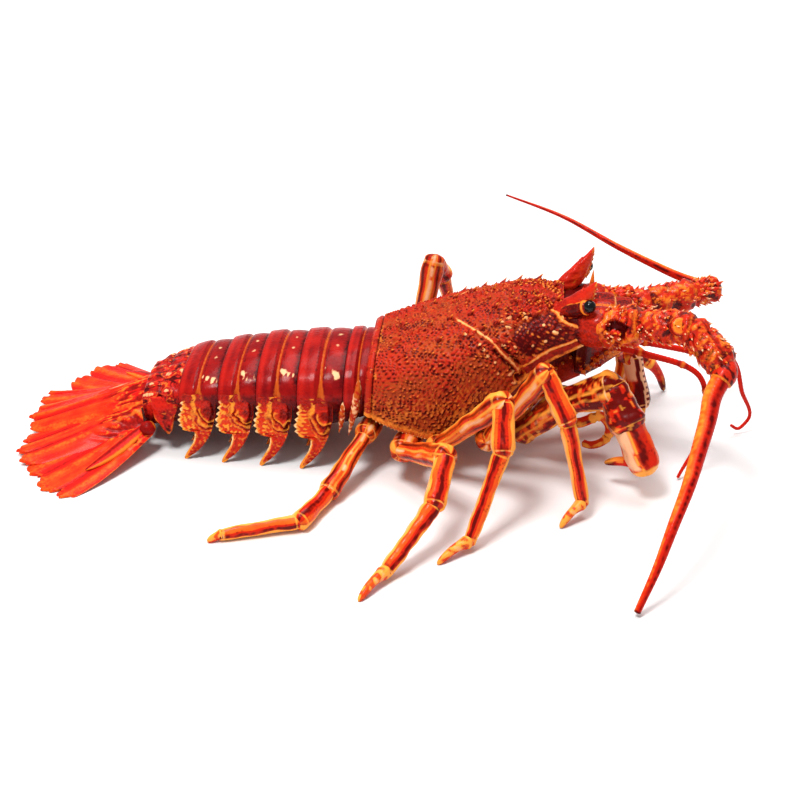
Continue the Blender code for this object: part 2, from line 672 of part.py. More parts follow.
def main():
    for obj in list(bpy.data.objects):
        bpy.data.objects.remove(obj)
    back = shell_material("carapace_brown", (0.50, 0.12, 0.03), 0.55)
    tail = shell_material("tail_dark_red", (0.42, 0.02, 0.015), 0.3)
    fan = shell_material("fan_orange", (0.85, 0.12, 0.03), 0.45)
    legs = shell_material("leg_orange", (0.75, 0.12, 0.02), 0.4)
    stalks = shell_material("stalk_red", (0.50, 0.04, 0.02), 0.4)
    whips = shell_material("whip_orange", (0.80, 0.14, 0.03), 0.4)
    black = shell_material("eye_black", (0.01, 0.008, 0.008), 0.12)
    make_carapace(back)
    make_underside(stalks)
    make_head_front(stalks)
    make_tail(tail)
    make_swimmerets(stalks)
    make_fan(fan)
    for name, pose in LEGS.items():
        make_leg(name, pose, legs)
    for name, side in (("right", -1), ("left", 1)):
        make_antenna(name, stalks, whips)
        make_feeler(name, whips)
        make_eye(name, side, black)
        make_mouthpart(name, legs)


main()
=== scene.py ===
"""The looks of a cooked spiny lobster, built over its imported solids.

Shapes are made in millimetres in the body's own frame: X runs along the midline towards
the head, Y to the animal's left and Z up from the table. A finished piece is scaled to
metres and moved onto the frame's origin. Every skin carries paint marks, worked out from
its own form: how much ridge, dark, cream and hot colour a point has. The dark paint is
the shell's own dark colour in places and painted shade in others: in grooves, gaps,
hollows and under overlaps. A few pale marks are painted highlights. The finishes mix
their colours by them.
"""

import math
import random

import bmesh
import bpy
import numpy as np
from mathutils import Matrix, Vector


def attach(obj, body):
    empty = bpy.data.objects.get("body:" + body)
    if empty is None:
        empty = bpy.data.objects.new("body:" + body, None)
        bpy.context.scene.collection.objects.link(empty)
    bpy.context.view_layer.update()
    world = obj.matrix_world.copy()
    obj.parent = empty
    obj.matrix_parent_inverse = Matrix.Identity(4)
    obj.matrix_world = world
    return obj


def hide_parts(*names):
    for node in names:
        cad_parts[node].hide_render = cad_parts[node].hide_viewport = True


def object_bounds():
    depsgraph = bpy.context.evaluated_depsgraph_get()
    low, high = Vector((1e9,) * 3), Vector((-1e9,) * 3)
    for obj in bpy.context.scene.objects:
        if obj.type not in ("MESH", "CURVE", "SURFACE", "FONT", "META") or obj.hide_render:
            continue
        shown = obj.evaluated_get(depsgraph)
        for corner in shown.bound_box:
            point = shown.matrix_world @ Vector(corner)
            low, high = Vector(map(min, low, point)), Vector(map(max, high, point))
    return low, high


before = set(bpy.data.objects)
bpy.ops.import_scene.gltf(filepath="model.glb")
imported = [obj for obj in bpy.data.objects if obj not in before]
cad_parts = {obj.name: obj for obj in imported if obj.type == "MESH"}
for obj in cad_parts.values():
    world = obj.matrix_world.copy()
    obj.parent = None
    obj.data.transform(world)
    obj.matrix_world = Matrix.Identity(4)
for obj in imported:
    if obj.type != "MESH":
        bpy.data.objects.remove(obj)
cad_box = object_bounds()

MM = 0.001
MIDLINE = 17.0
WITHIN = 0.02                  # how far every skin stays inside the solids' own box
LOWEST, HIGHEST = (np.array([list(corner) for corner in cad_box]) / MM - [0, MIDLINE, 0]
                   + [[WITHIN], [-WITHIN]])
WELD = 0.0005
SEED = 11
# The second channel carries the shell's own dark colour and painted shade alike.
RIDGE, DARK_AND_SHADE, CREAM, HOT = 0, 1, 2, 3       # channels of the paint marks

CARAPACE_RIBS = (
    (0.00, -5.0, 59.5, 32.5, 44.0, -6.5, 31.5, 31.0),
    (0.20, 14.0, 67.0, 36.5, 46.0, 12.5, 35.0, 24.5),
    (0.40, 33.0, 74.5, 36.5, 51.0, 31.0, 34.5, 21.5),
    (0.60, 52.0, 80.5, 33.5, 60.0, 51.5, 32.0, 34.0),
    (0.80, 70.0, 84.5, 28.5, 69.0, 73.0, 27.0, 55.0),
    (1.00, 86.0, 84.0, 22.5, 78.0, 96.0, 20.5, 70.5),
)
CARAPACE_SQUARENESS = 2.3
ARCH_END = 7 / 9               # share of a rib where its widest point lies
HORN_BASE = (89.0, 14.5, 82.0)
HORN_TIP = (99.6, 19.5, 99.8)
HORN_LENGTH = 10.0
HORN_WIDTH = 4.6
TAIL_ARCHES = (
    (-6.0, 57.0, 29.5, 38.0, 27.0),
    (-16.0, 56.0, 31.0, 37.0, 24.0),
    (-39.0, 53.5, 31.0, 36.0, 21.0),
    (-59.0, 51.0, 30.0, 35.5, 20.0),
    (-78.0, 46.5, 28.5, 34.5, 19.0),
    (-98.0, 41.5, 26.0, 31.5, 16.5),
    (-118.5, 32.0, 19.5, 23.0, 11.0),
)
TERGITE_EDGES = (-8.6, -16.5, -39.0, -59.0, -78.0, -98.0, -118.0)
TAIL_SQUARENESS = 2.2
PLEURON_FRONT = ((0.0, -1.2), (0.05, 0.2), (0.1, 1.5), (0.26, 4.6), (0.5, 6.8), (0.74, 8.8),
                 (1.06, 9.0))
PLEURON_REAR = ((0.0, -2.0), (0.03, -3.0), (0.2, -2.6), (0.428, -1.9), (0.436, -6.4),
                (0.46, -8.0), (0.52, -9.0), (0.66, -9.4), (0.82, -8.0), (1.06, -7.0))
PLEURON_THICKNESS = 3.0
PLEURON_MIDDLES = (-30.5, -50.5, -69.5, -88.5)
FAN_BLADES = {
    "telson": ((-119.2, 0.0, 26.5), (-183.5, -4.0, 4.3), 10.5, 15.0, 1.15),
    "uropod_inner_right": ((-121.4, -12.5, 18.5), (-179.5, -37.0, 2.1), 6.5, 13.5, 1.35),
    "uropod_inner_left": ((-119.6, 12.0, 19.0), (-184.5, 21.0, 2.1), 6.5, 10.5, 1.35),
    "uropod_outer_right": ((-118.6, -20.0, 11.5), (-160.5, -62.5, 0.3), 6.5, 18.0, 1.5),
    "uropod_outer_left": ((-118.6, 20.0, 11.5), (-168.0, 55.0, 0.3), 6.5, 18.0, 1.5),
}
BLADE_THICKNESS = 1.3
LEGS = {
    "leg_1_right": ((68, -11, 13), (35, -27, 46), (25, -24, 30), (17, -42, -51),
                    (24, -26, -62), (21, 154, -12)),
    "leg_1_left": ((70, 9, 19), (51, 17, 1), (16, 77, 58), (5, -48, 33),
                   (25, -55, -64), (16, -90, None)),
    "leg_2_right": ((52, -10, 13), (21, -88, 17), (56, -32, 57), (24, -34, -58),
                    (40, -48, -70), (16, -136, None)),
    "leg_2_left": ((52, 10, 14), (26, 76, 24), (44, 25, 38), (19, 15, -20),
                   (38, 10, -43), (22, 12, None)),
    "leg_3_right": ((34, -12, 13), (27, -100, 13), (54, -36, 46), (22, -86, -53),
                    (43, -123, -56), (19, -137, None)),
    "leg_3_left": ((34, 12, 13), (27, 100, 13), (48, 22, 25), (20, 60, -28),
                   (40, 128, -40), (17, 150, None)),
    "leg_4_right": ((18, -12, 16), (31, -100, 5), (41, -53, 24), (24, -100, -30),
                    (37, -127, -31), (20, -121, None)),
    "leg_4_left": ((18, 12, 16), (29, 107, 9), (56, 62, 65), (18, 75, -46),
                   (51, 70, -64), (14, 62, None)),
    "leg_5_right": ((-2, -11, 20), (22, -100, 3), (35, -117, -26), (26, -113, -2),
                    (36, -162, -3), (7, -159, None)),
    "leg_5_left": ((-2, 11, 20), (22, 100, 3), (35, 119, -26), (26, 122, -2),
                   (36, 166, -3), (14, 172, None)),
}
LEG_RADII = ((6.2, 5.4), (4.4, 5.2), (4.5, 4.6), (4.0, 2.9), (2.8, 0.35))
FRONT_LEG_RADII = ((7.4, 7.6), (7.8, 8.4), (8.0, 9.0), (8.4, 6.0), (3.4, 0.35))
LEG_STOUTNESS = {"leg_1_left": 0.6, "leg_2_left": 1.2, "leg_3_right": 1.05,
                 "leg_3_left": 1.05, "leg_4_right": 1.08, "leg_4_left": 1.08,
                 "leg_5_right": 0.95, "leg_5_left": 0.95}
CLAW_BEND = 0.10
ANTENNA_STALKS = {
    "right": (((88, -12, 74), (105, -19, 76.5), (119, -23.5, 80.5), (143, -32, 84.5),
               (158, -42.5, 71.5)), (9.2, 8.8, 7.0, 6.9)),
    "left": (((86, 13, 72), (104, 17, 71), (118, 21, 68.5), (149, 31, 71.5),
              (162, 38.5, 72)), (10.0, 9.0, 7.2, 5.6)),
}
THORN_COUNTS = (4, 6, 6)
THORN_LENGTH = 4.6
SMALL_THORNS = 70
BUTTON_PLACE = (136.6, -30.5, 83.2)
WHIP_ROUTES = {
    "right": ((158.0, -46.5, 70.5), (152.5, -55.0, 63.5), (150.0, -65.0, 57.5),
              (145.5, -80.0, 50.0), (140.2, -97.0, 42.0), (133.6, -112.0, 31.4),
              (127.4, -124.0, 18.3), (119.5, -134.5, 1.8)),
    "left": ((160.0, 43.5, 70.5), (148.0, 47.0, 72.5), (130.5, 53.0, 77.7),
             (115.0, 60.0, 82.5), (87.0, 75.0, 91.7), (56.0, 90.0, 97.2)),
}
WHIP_RADII = {"right": (4.7, 1.5), "left": (2.5, 0.5)}
FEELER_ROUTES = {
    "right": ((108.0, -4.5, 60.0), (125.0, -5.0, 56.5), (153.5, -9.0, 46.0),
              (156.0, -18.0, 26.0), (145.0, -27.5, 1.0)),
    "left": ((108.0, 4.5, 60.0), (125.5, 5.0, 57.5), (150.0, 7.5, 52.0),
             (170.0, 11.5, 46.5), (177.5, 14.0, 27.5), (183.0, 19.0, 7.5),
             (179.0, 18.0, 3.4), (174.5, 16.0, 6.5)),
}
FEELER_RADII = (1.9, 0.8)
MOUTHPART_ROUTES = {
    "right": ((80.0, -5.0, 43.0), (85.0, -6.0, 25.0), (92.0, -6.0, 16.5),
              (97.0, -6.0, 16.8), (108.7, -6.0, 20.8), (112.0, -6.0, 16.1),
              (112.0, -6.0, 10.2), (108.5, -6.0, 6.0), (103.6, -6.0, 4.3),
              (99.3, -6.0, 5.5)),
    "left": ((80.0, 5.0, 43.0), (87.0, 6.0, 28.0), (96.0, 6.0, 24.0),
             (104.0, 5.5, 24.5), (110.0, 4.5, 20.0)),
}
MOUTHPART_RADII = (3.2, 1.9)
EYE_PLACE = (97.2, 22.5, 88.6)
EYE_RADIUS = 3.0

# Finer forms than the solids have: outlines of a side plate, as shares of its height and
# millimetres along, and how thick a limb's or a stalk's piece is along its length.
FLAP_FRONT = ((0.0, -7.2), (0.04, -5.2), (0.10, -2.6), (0.18, 0.2), (0.26, 2.3), (0.36, 4.5),
              (0.5, 6.6), (0.74, 8.8), (1.06, 9.0))
FLAP_REAR = ((0.0, -8.0), (0.04, -7.9), (0.10, -6.9), (0.18, -5.2), (0.28, -3.2), (0.38, -2.1),
             (0.466, -2.2), (0.476, -6.4), (0.50, -8.0), (0.56, -9.0), (0.68, -9.4),
             (0.82, -8.0), (1.06, -7.0))
FLANK_PATCH = ((0.8, 24.8), (1.6, 21.2), (4.4, 20.4), (8.2, 17.8), (8.6, 20.4), (6.4, 22.6),
               (7.0, 24.4), (3.6, 26.0))
LIMB_PROFILES = (
    ((0.0, 0.60), (0.08, 0.92), (0.16, 0.98), (0.22, 0.92), (0.5, 0.98), (0.8, 1.02),
     (0.92, 1.06), (1.0, 0.98)),
    ((0.0, 0.62), (0.06, 0.86), (0.11, 0.90), (0.18, 0.86), (0.5, 0.93), (0.8, 1.0),
     (0.93, 1.07), (1.0, 0.97)),
    ((0.0, 0.70), (0.10, 0.90), (0.35, 0.95), (0.7, 1.04), (0.9, 1.08), (1.0, 0.97)),
    ((0.0, 0.66), (0.07, 0.94), (0.13, 1.0), (0.22, 0.95), (0.6, 0.97), (0.9, 1.03),
     (1.0, 0.92)),
    ((0.0, 0.72), (0.08, 0.98), (0.2, 1.0), (0.5, 1.08), (0.8, 1.25), (0.93, 1.22),
     (1.0, 1.0)),
)
STALK_PROFILES = (
    ((0.0, 0.80), (0.3, 0.95), (0.6, 1.02), (0.85, 1.04), (0.94, 0.96), (1.0, 0.80)),
    ((0.0, 0.66), (0.06, 0.92), (0.15, 1.06), (0.35, 0.96), (0.7, 1.0), (0.92, 1.04),
     (1.0, 0.80)),
    ((0.0, 0.60), (0.06, 0.90), (0.2, 0.95), (0.5, 1.02), (0.8, 1.08), (0.94, 1.04),
     (1.0, 0.72)),
    ((0.0, 0.62), (0.06, 0.88), (0.3, 1.0), (0.6, 1.06), (0.9, 1.0), (1.0, 0.62)),
)
FAN_ROOT_SPREAD = 1.45
DARK_LEG = {("leg_1_right", 0): 0.6, ("leg_1_right", 1): 0.8, ("leg_1_right", 2): 0.95,
            ("leg_1_left", 2): 0.3}
RED_CLAWS = {"leg_1_right": 0.6, "leg_2_left": 0.9}
STRIPE_SHIFTS = {"leg_4_right": -0.50, "leg_5_right": -0.55, "leg_2_right": -0.15}
BREAST_DOTS = ((87.3, 52.0), (90.9, 55.4), (84.1, 49.1))
FIST, DASHED_STRIP = 4, 5           # ways to paint the fourth piece of the two front legs
FAN_OVERLAP = {"uropod_outer": 0.42, "uropod_inner": 0.34}
FAN_SAG = {"telson": (6.2, 5.4), "uropod_inner": (5.2, 4.6)}   # at the root, less at the end

# Marks that lie on the back shell, as points of its right side mirrored to y > 0.
CERVICAL_GROOVE = ((31.5, 0.0, 74.0), (33.5, 8.0, 74.3), (36.7, 13.4, 74.6),
                   (45.2, 22.7, 74.0), (53.3, 28.3, 71.5), (58.5, 31.0, 67.0),
                   (65.2, 29.8, 59.2), (67.0, 29.1, 55.0))
FRONT_MARGIN = ((80.5, 16.0, 85.0), (82.6, 17.4, 84.1), (83.7, 19.2, 81.5),
                (86.3, 22.0, 79.7), (92.3, 21.6, 75.5), (95.0, 20.9, 72.0))
CHEEK_LINE = ((66.5, 29.4, 58.8), (72.0, 28.0, 62.0), (78.2, 26.2, 66.3),
              (85.0, 24.1, 69.6), (90.5, 22.4, 72.6))
CHEEK_PATCH = ((61.8, 75.0), (66.0, 79.0), (73.0, 81.0), (79.0, 83.0), (82.6, 83.2),
               (83.8, 80.0), (87.0, 77.5), (91.5, 73.5), (88.0, 69.5), (80.0, 66.0),
               (72.0, 63.8), (67.5, 66.5), (64.0, 71.0))
CHEEK_DOTS = ((72.3, 28.1, 70.1), (75.5, 27.3, 71.4), (79.5, 26.1, 72.5),
              (81.2, 24.8, 76.6), (76.9, 23.4, 78.8), (84.4, 24.0, 76.9),
              (66.5, 28.3, 76.2), (68.3, 27.0, 76.4), (70.1, 25.8, 76.6))
GROOVE_DOTS = ((47.9, 29.5, 70.3), (49.8, 31.2, 68.6), (51.8, 32.4, 66.2),
               (55.1, 32.5, 63.3), (41.0, 24.0, 72.5))
CHEEK_HOLE = (67.0, 29.1, 54.0)
CORNER_REACH = 5.0             # how far the shell's front corner juts out over the cheek


def smooth(knots, t):
    """The values at t of a smooth curve through rows of a place and its values."""
    table = np.asarray(knots, float)
    places, values = table[:, 0], table[:, 1:]
    slopes = np.gradient(values, places, axis=0)
    t = np.asarray(t, float)
    i = np.clip(np.searchsorted(places, t) - 1, 0, len(places) - 2)
    span = (places[i + 1] - places[i])[..., None]
    u = (t - places[i])[..., None] / span
    return ((1 + 2 * u) * (1 - u) ** 2 * values[i] + u * (1 - u) ** 2 * span * slopes[i]
            + u * u * (3 - 2 * u) * values[i + 1] - u * u * (1 - u) * span * slopes[i + 1])


def through(route, count):
    """Points spread along a smooth curve through a route's points."""
    route = np.asarray(route, float)
    lengths = np.concatenate([[0], np.cumsum(np.linalg.norm(np.diff(route, axis=0), axis=1))])
    return smooth(np.column_stack([lengths, route]), np.linspace(0, lengths[-1], count))


def unit(vectors):
    return vectors / np.maximum(np.linalg.norm(vectors, axis=-1, keepdims=True), 1e-9)


def step(low, high, value):
    """A soft step from 0 at low to 1 at high."""
    share = np.clip((np.asarray(value, float) - low) / (high - low), 0, 1)
    return share * share * (3 - 2 * share)


def hump(value, middle, width):
    """A soft hump of height 1."""
    return np.exp(-((np.asarray(value, float) - middle) / width) ** 2)


def far_from(points, route):
    """Each point's distance from a line of straight runs."""
    best = np.full(points.shape[:-1], 1e9)
    route = np.asarray(route, float)
    for a, b in zip(route[:-1], route[1:]):
        run = b - a
        share = np.clip((points - a) @ run / (run @ run), 0, 1)
        best = np.minimum(best, np.linalg.norm(points - a - share[..., None] * run, axis=-1))
    return best


def laid_on(skin, route, count=48):
    """A smooth line through a route, moved onto the skin that it runs along."""
    line = through(route, count)
    flat = skin.reshape(-1, 3)
    near = [flat[np.argmin(((flat - point) ** 2).sum(axis=1))] for point in line]
    moves = np.array(near) - line
    padded = np.pad(moves, ((2, 2), (0, 0)), mode="edge")
    return line + sum(padded[i:i + count] for i in range(5)) / 5


def inside(x, z, corners, soft):
    """1 inside a flat outline and 0 outside, with a soft edge."""
    corners = np.asarray(corners, float)
    odd = np.zeros(x.shape, bool)
    for (ax, az), (bx, bz) in zip(corners, np.roll(corners, -1, axis=0)):
        crosses = (az > z) != (bz > z)
        odd ^= crosses & (x < (bx - ax) * (z - az) / (bz - az + 1e-12) + ax)
    flat = np.stack([x, z], axis=-1)
    edge = far_from(flat, np.vstack([corners, corners[:1]]))
    return np.clip(0.5 + np.where(odd, edge, -edge) / soft, 0, 1)


def grain(points, size, seed=0):
    """Smooth random values from 0 to 1 in space, about one swing for each size."""
    turns = np.random.default_rng(seed + 5)
    total = np.zeros(points.shape[:-1])
    for _ in range(7):
        way = turns.normal(size=3) * 2.6 / size
        total += np.sin(points @ way + turns.uniform(0, math.tau))
    return np.clip(0.5 + total / 7, 0, 1)


def studs(along, around, pitch, seed):
    """Distance to the nearest stud of an uneven staggered field, and each stud's size."""
    best = np.full(along.shape, 1e9)
    size = np.ones(along.shape)
    row = np.floor(along / pitch)
    for shift_row in (-1, 0, 1):
        for shift_column in (-1, 0, 1, 2):
            r = row + shift_row
            offset = 0.5 * (r % 2)
            c = np.floor(around / pitch - offset) + shift_column
            first = np.sin(r * 127.1 + c * 311.7 + seed) * 43758.5453
            second = np.sin(r * 269.5 + c * 183.3 + seed) * 24634.6345
            first, second = first - np.floor(first), second - np.floor(second)
            da = along - (r + 0.5 + 0.42 * (first - 0.5)) * pitch
            dc = around - (c + 0.5 + offset + 0.42 * (second - 0.5)) * pitch
            distance = np.hypot(da, dc)
            size = np.where(distance < best, 0.7 + 0.6 * first, size)
            best = np.minimum(best, distance)
    return best, size


def no_marks(points):
    return np.zeros(points.shape[:-1] + (4,))


def put(marks, channel, amount):
    """Adds paint of one kind where there is more of it than before."""
    marks[..., channel] = np.maximum(marks[..., channel], np.clip(amount, 0, 1))
    return marks


def loft(rings, marks=None):
    """A closed skin through rings of equally many points, its two ends capped."""
    rings = np.clip(np.asarray(rings, float), LOWEST, HIGHEST)
    marks = no_marks(rings) if marks is None else marks
    along, around = rings.shape[0] - 1, rings.shape[1]
    body = bmesh.new()
    body.loops.layers.uv.new("UVMap")
    paint = body.verts.layers.float_color.new("marks")
    bmesh.ops.create_grid(body, x_segments=around, y_segments=along, size=1, calc_uvs=True)
    for vert in body.verts:
        i = round((vert.co.x + 1) / 2 * around) % around
        j = round((vert.co.y + 1) / 2 * along)
        vert.co = rings[j, i]
        vert[paint] = marks[j, i]
    bmesh.ops.remove_doubles(body, verts=body.verts, dist=WELD)
    bmesh.ops.holes_fill(body, edges=body.edges)
    bmesh.ops.recalc_face_normals(body, faces=body.faces)
    return body


def join(bodies):
    """All the shapes as one."""
    whole = bodies[0]
    for body in bodies[1:]:
        mesh = bpy.data.meshes.new("joined")
        body.to_mesh(mesh)
        body.free()
        whole.from_mesh(mesh)
        bpy.data.meshes.remove(mesh)
    return whole


def piece(name, body, finish, slot, *nodes):
    """Turns a shape into a piece on the frame that stands for its CAD nodes."""
    bmesh.ops.scale(body, verts=body.verts, vec=(MM, MM, MM))
    bmesh.ops.translate(body, verts=body.verts, vec=(0, MIDLINE * MM, 0))
    mesh = bpy.data.meshes.new(name)
    body.to_mesh(mesh)
    body.free()
    mesh.shade_smooth()
    mesh.set_sharp_from_angle(angle=math.radians(55))
    mesh.materials.append(finish)
    obj = bpy.data.objects.new(name, mesh)
    bpy.context.scene.collection.objects.link(obj)
    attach(obj, "root")
    if nodes:
        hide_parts(*nodes)
    return obj


def across(ahead):
    """Two directions square to a piece's own, the first one level where possible."""
    ahead = unit(np.asarray(ahead, float))
    upright = np.array([0, 0, 1.0]) if abs(ahead[2]) < 0.9 else np.array([1.0, 0, 0])
    side = unit(np.cross(ahead, upright))
    return side, unit(np.cross(side, ahead))


def turns(count):
    return math.tau * (np.arange(count) + 0.5) / count


def bar(path, radii, count=16):
    """Rings of a bar along a path. radii is a number for each ring or each point."""
    path = np.asarray(path, float)
    ahead = np.gradient(path, axis=0)
    order = np.arange(len(path))
    moves = order[np.linalg.norm(ahead, axis=1) > 1e-4]
    ahead = unit(ahead[moves[np.abs(order[:, None] - moves).argmin(axis=1)]])
    side = across(ahead[0])[0]
    sides = []
    for way in ahead:
        side = unit(side - way * (side @ way))
        sides.append(side)
    sides = np.array(sides)
    ups = np.cross(sides, ahead)
    turn = turns(count)
    radii = np.asarray(radii, float)
    radii = radii[:, None] if radii.ndim == 1 else radii
    return (path[:, None] + (radii * np.cos(turn))[..., None] * sides[:, None]
            + (radii * np.sin(turn))[..., None] * ups[:, None])


def facing(rings):
    """For each point of a limb, seen from its right side and above: how far it lies towards
    the tail or the top, and how far it faces outwards."""
    outward = np.array([0.08, -0.86, 0.5])
    centre = rings.mean(axis=1)
    ahead = unit(np.gradient(centre, axis=0))
    outward = unit(outward - ahead * (ahead @ outward)[:, None])
    left = np.cross(ahead, outward)
    left = left * np.sign(left.mean(axis=0) @ [-1, 0, 1])
    radial = unit(rings - centre[:, None])
    return (radial * left[:, None]).sum(axis=-1), (radial * outward[:, None]).sum(axis=-1)


def thorn(foot, direction, length, radius, tip=CREAM, lean=(0, 0, 0), root=HOT, count=8):
    """A curved spine with a spread foot and a bright tip."""
    direction = unit(np.asarray(direction, float))
    share = np.array([-0.12, 0.0, 0.14, 0.36, 0.62, 0.85, 1.0])
    width = np.array([1.25, 1.2, 0.86, 0.62, 0.40, 0.2, 0.03]) * radius
    path = (np.asarray(foot, float) + share[:, None] * direction * length
            + np.asarray(lean, float) * (share[:, None] ** 2) * length)
    rings = bar(path, width, count)
    marks = no_marks(rings)
    put(marks, tip, step(0.45, 0.9, share)[:, None] + 0 * rings[..., 0])
    put(marks, HOT, 0.7 + 0 * rings[..., 0])
    put(marks, root, (1 - step(0.3, 0.8, share))[:, None] * 0.6 + 0 * rings[..., 0])
    return loft(rings, marks)


class Number:
    """A socket of a finish that adds, multiplies and compares like a number."""

    def __init__(self, finish, socket):
        self.finish, self.socket = finish, socket

    def by(self, operation, first, second, clamp=False):
        node = self.finish.add("ShaderNodeMath", {"operation": operation, "use_clamp": clamp},
                               {0: first, 1: second})
        return Number(self.finish, node.outputs[0])

    def __add__(self, other):
        return self.by("ADD", self, other)

    def __sub__(self, other):
        return self.by("SUBTRACT", self, other)

    def __rsub__(self, other):
        return self.by("SUBTRACT", other, self)

    def __mul__(self, other):
        return self.by("MULTIPLY", self, other)

    def __truediv__(self, other):
        return self.by("DIVIDE", self, other)

    def __rtruediv__(self, other):
        return self.by("DIVIDE", other, self)

    def __pow__(self, other):
        return self.by("POWER", self, other)

    __radd__, __rmul__ = __add__, __mul__

    def held(self):
        """Held between 0 and 1."""
        return self.by("ADD", self, 0.0, clamp=True)

    def ramp(self, low, high):
        """0 at low and 1 at high, straight in between."""
        return ((self - low) / (high - low)).held()


class Finish:
    """A procedural surface under construction."""

    def __init__(self, name, **fixed):
        self.material = bpy.data.materials.new(name)
        self.material.use_nodes = True
        self.tree = self.material.node_tree
        self.surface = self.tree.nodes["Principled BSDF"]
        for socket, value in fixed.items():
            self.surface.inputs[socket.replace("_", " ")].default_value = value
        self.place = self.add("ShaderNodeTexCoord").outputs["Object"]

    def add(self, kind, settings=None, inputs=None):
        """Any node: its type, its settings, then the values or links of its inputs."""
        node = self.tree.nodes.new(kind)
        for key, value in (settings or {}).items():
            setattr(node, key, value)
        for key, value in (inputs or {}).items():
            self.feed(node.inputs[key], value)
        return node

    def feed(self, socket, value):
        value = value.socket if isinstance(value, Number) else value
        if isinstance(value, bpy.types.NodeSocket):
            self.tree.links.new(value, socket)
        else:
            socket.default_value = value

    def noise(self, size, detail=2.0, place=None):
        """Cloudy noise whose swings are about size metres wide."""
        node = self.add("ShaderNodeTexNoise", None, {
            "Vector": place or self.place, "Scale": 1 / size, "Detail": detail})
        return Number(self, node.outputs[0])

    def on_skin(self, around, along):
        """Places on the skin, so that streaks follow a limb: around it and along it."""
        node = self.add("ShaderNodeMapping", None, {
            "Vector": self.add("ShaderNodeUVMap", {"uv_map": "UVMap"}).outputs[0],
            "Scale": (around, along, 1)})
        return node.outputs[0]

    def spots(self, size):
        """Distance from scattered points about size metres apart, in those sizes."""
        node = self.add("ShaderNodeTexVoronoi", None,
                        {"Vector": self.place, "Scale": 1 / size})
        return Number(self, node.outputs["Distance"])

    def mix(self, share, first, second):
        """A colour between two."""
        as_colour = [(*c, 1) if isinstance(c, tuple) else c for c in (first, second)]
        node = self.add("ShaderNodeMix", {"data_type": "RGBA"},
                        {0: share, 6: as_colour[0], 7: as_colour[1]})
        return node.outputs[2]

    def marks(self):
        """The four kinds of paint that the skin carries."""
        node = self.add("ShaderNodeAttribute", {"attribute_name": "marks"})
        parts = self.add("ShaderNodeSeparateColor", None, {0: node.outputs["Color"]})
        return [Number(self, parts.outputs[i]) for i in range(3)] + [
            Number(self, node.outputs["Alpha"])]

    def finish(self, colour, roughness=None, relief=None, depth=0.0004):
        self.feed(self.surface.inputs["Base Color"], colour)
        if roughness is not None:
            self.feed(self.surface.inputs["Roughness"], roughness)
        if relief is not None:
            bump = self.add("ShaderNodeBump", None, {
                "Height": relief, "Distance": depth, "Strength": 1.0})
            self.feed(self.surface.inputs["Normal"], bump.outputs[0])
        return self.material


def shell(name, base, mottle, ridge, deep, cream, hot, rough=0.34, coat=0.0, freckle=0.0,
          bump=0.5, blotch=0.012, grainy=0.0016, gloss=0.04, streaks=None, ragged=0.6):
    """Boiled shell: mottled, freckled, and painted by the marks of its skin. Each kind of
    paint breaks up in the grain where there is less of it, the more so the more ragged."""
    f = Finish(name, Coat_Weight=coat, Coat_Roughness=0.16, Specular_IOR_Level=gloss)
    broad, fine = f.noise(blotch, 3.0), f.noise(grainy, 2.0)
    flecks = fine if streaks is None else f.noise(1.0, 3.0, f.on_skin(*streaks))
    worn = (flecks * 0.7 + broad * 0.3).ramp(0.37, 0.63)

    def laid(amount, wear):
        return (amount * (1 + 0.5 * ragged) - wear * ragged).ramp(0, 1 - 0.5 * ragged)

    ridges, darks_and_shade, creams, hots = f.marks()
    colour = f.mix(broad.ramp(0.36, 0.64), base, mottle)
    colour = f.mix(laid(hots, broad.ramp(0.3, 0.7) * 0.6 + worn * 0.4), colour, hot)
    if freckle:
        dots = f.spots(0.0017).ramp(0.42, 0.25) * f.noise(0.006).ramp(0.42, 0.58)
        colour = f.mix(dots * freckle, colour, deep)
    # Dark paint: the shell's own dark marks, and painted shade in grooves, gaps and hollows.
    colour = f.mix(laid(darks_and_shade, worn), colour, deep)
    colour = f.mix(laid(ridges, 1 - worn), colour, ridge)
    colour = f.mix(laid(creams, 1 - worn), colour, cream)
    roughness = rough + (fine - 0.5) * 0.25
    relief = fine * 0.7 + broad * 0.6
    return f.finish(colour, roughness, relief, 0.0004 * bump)


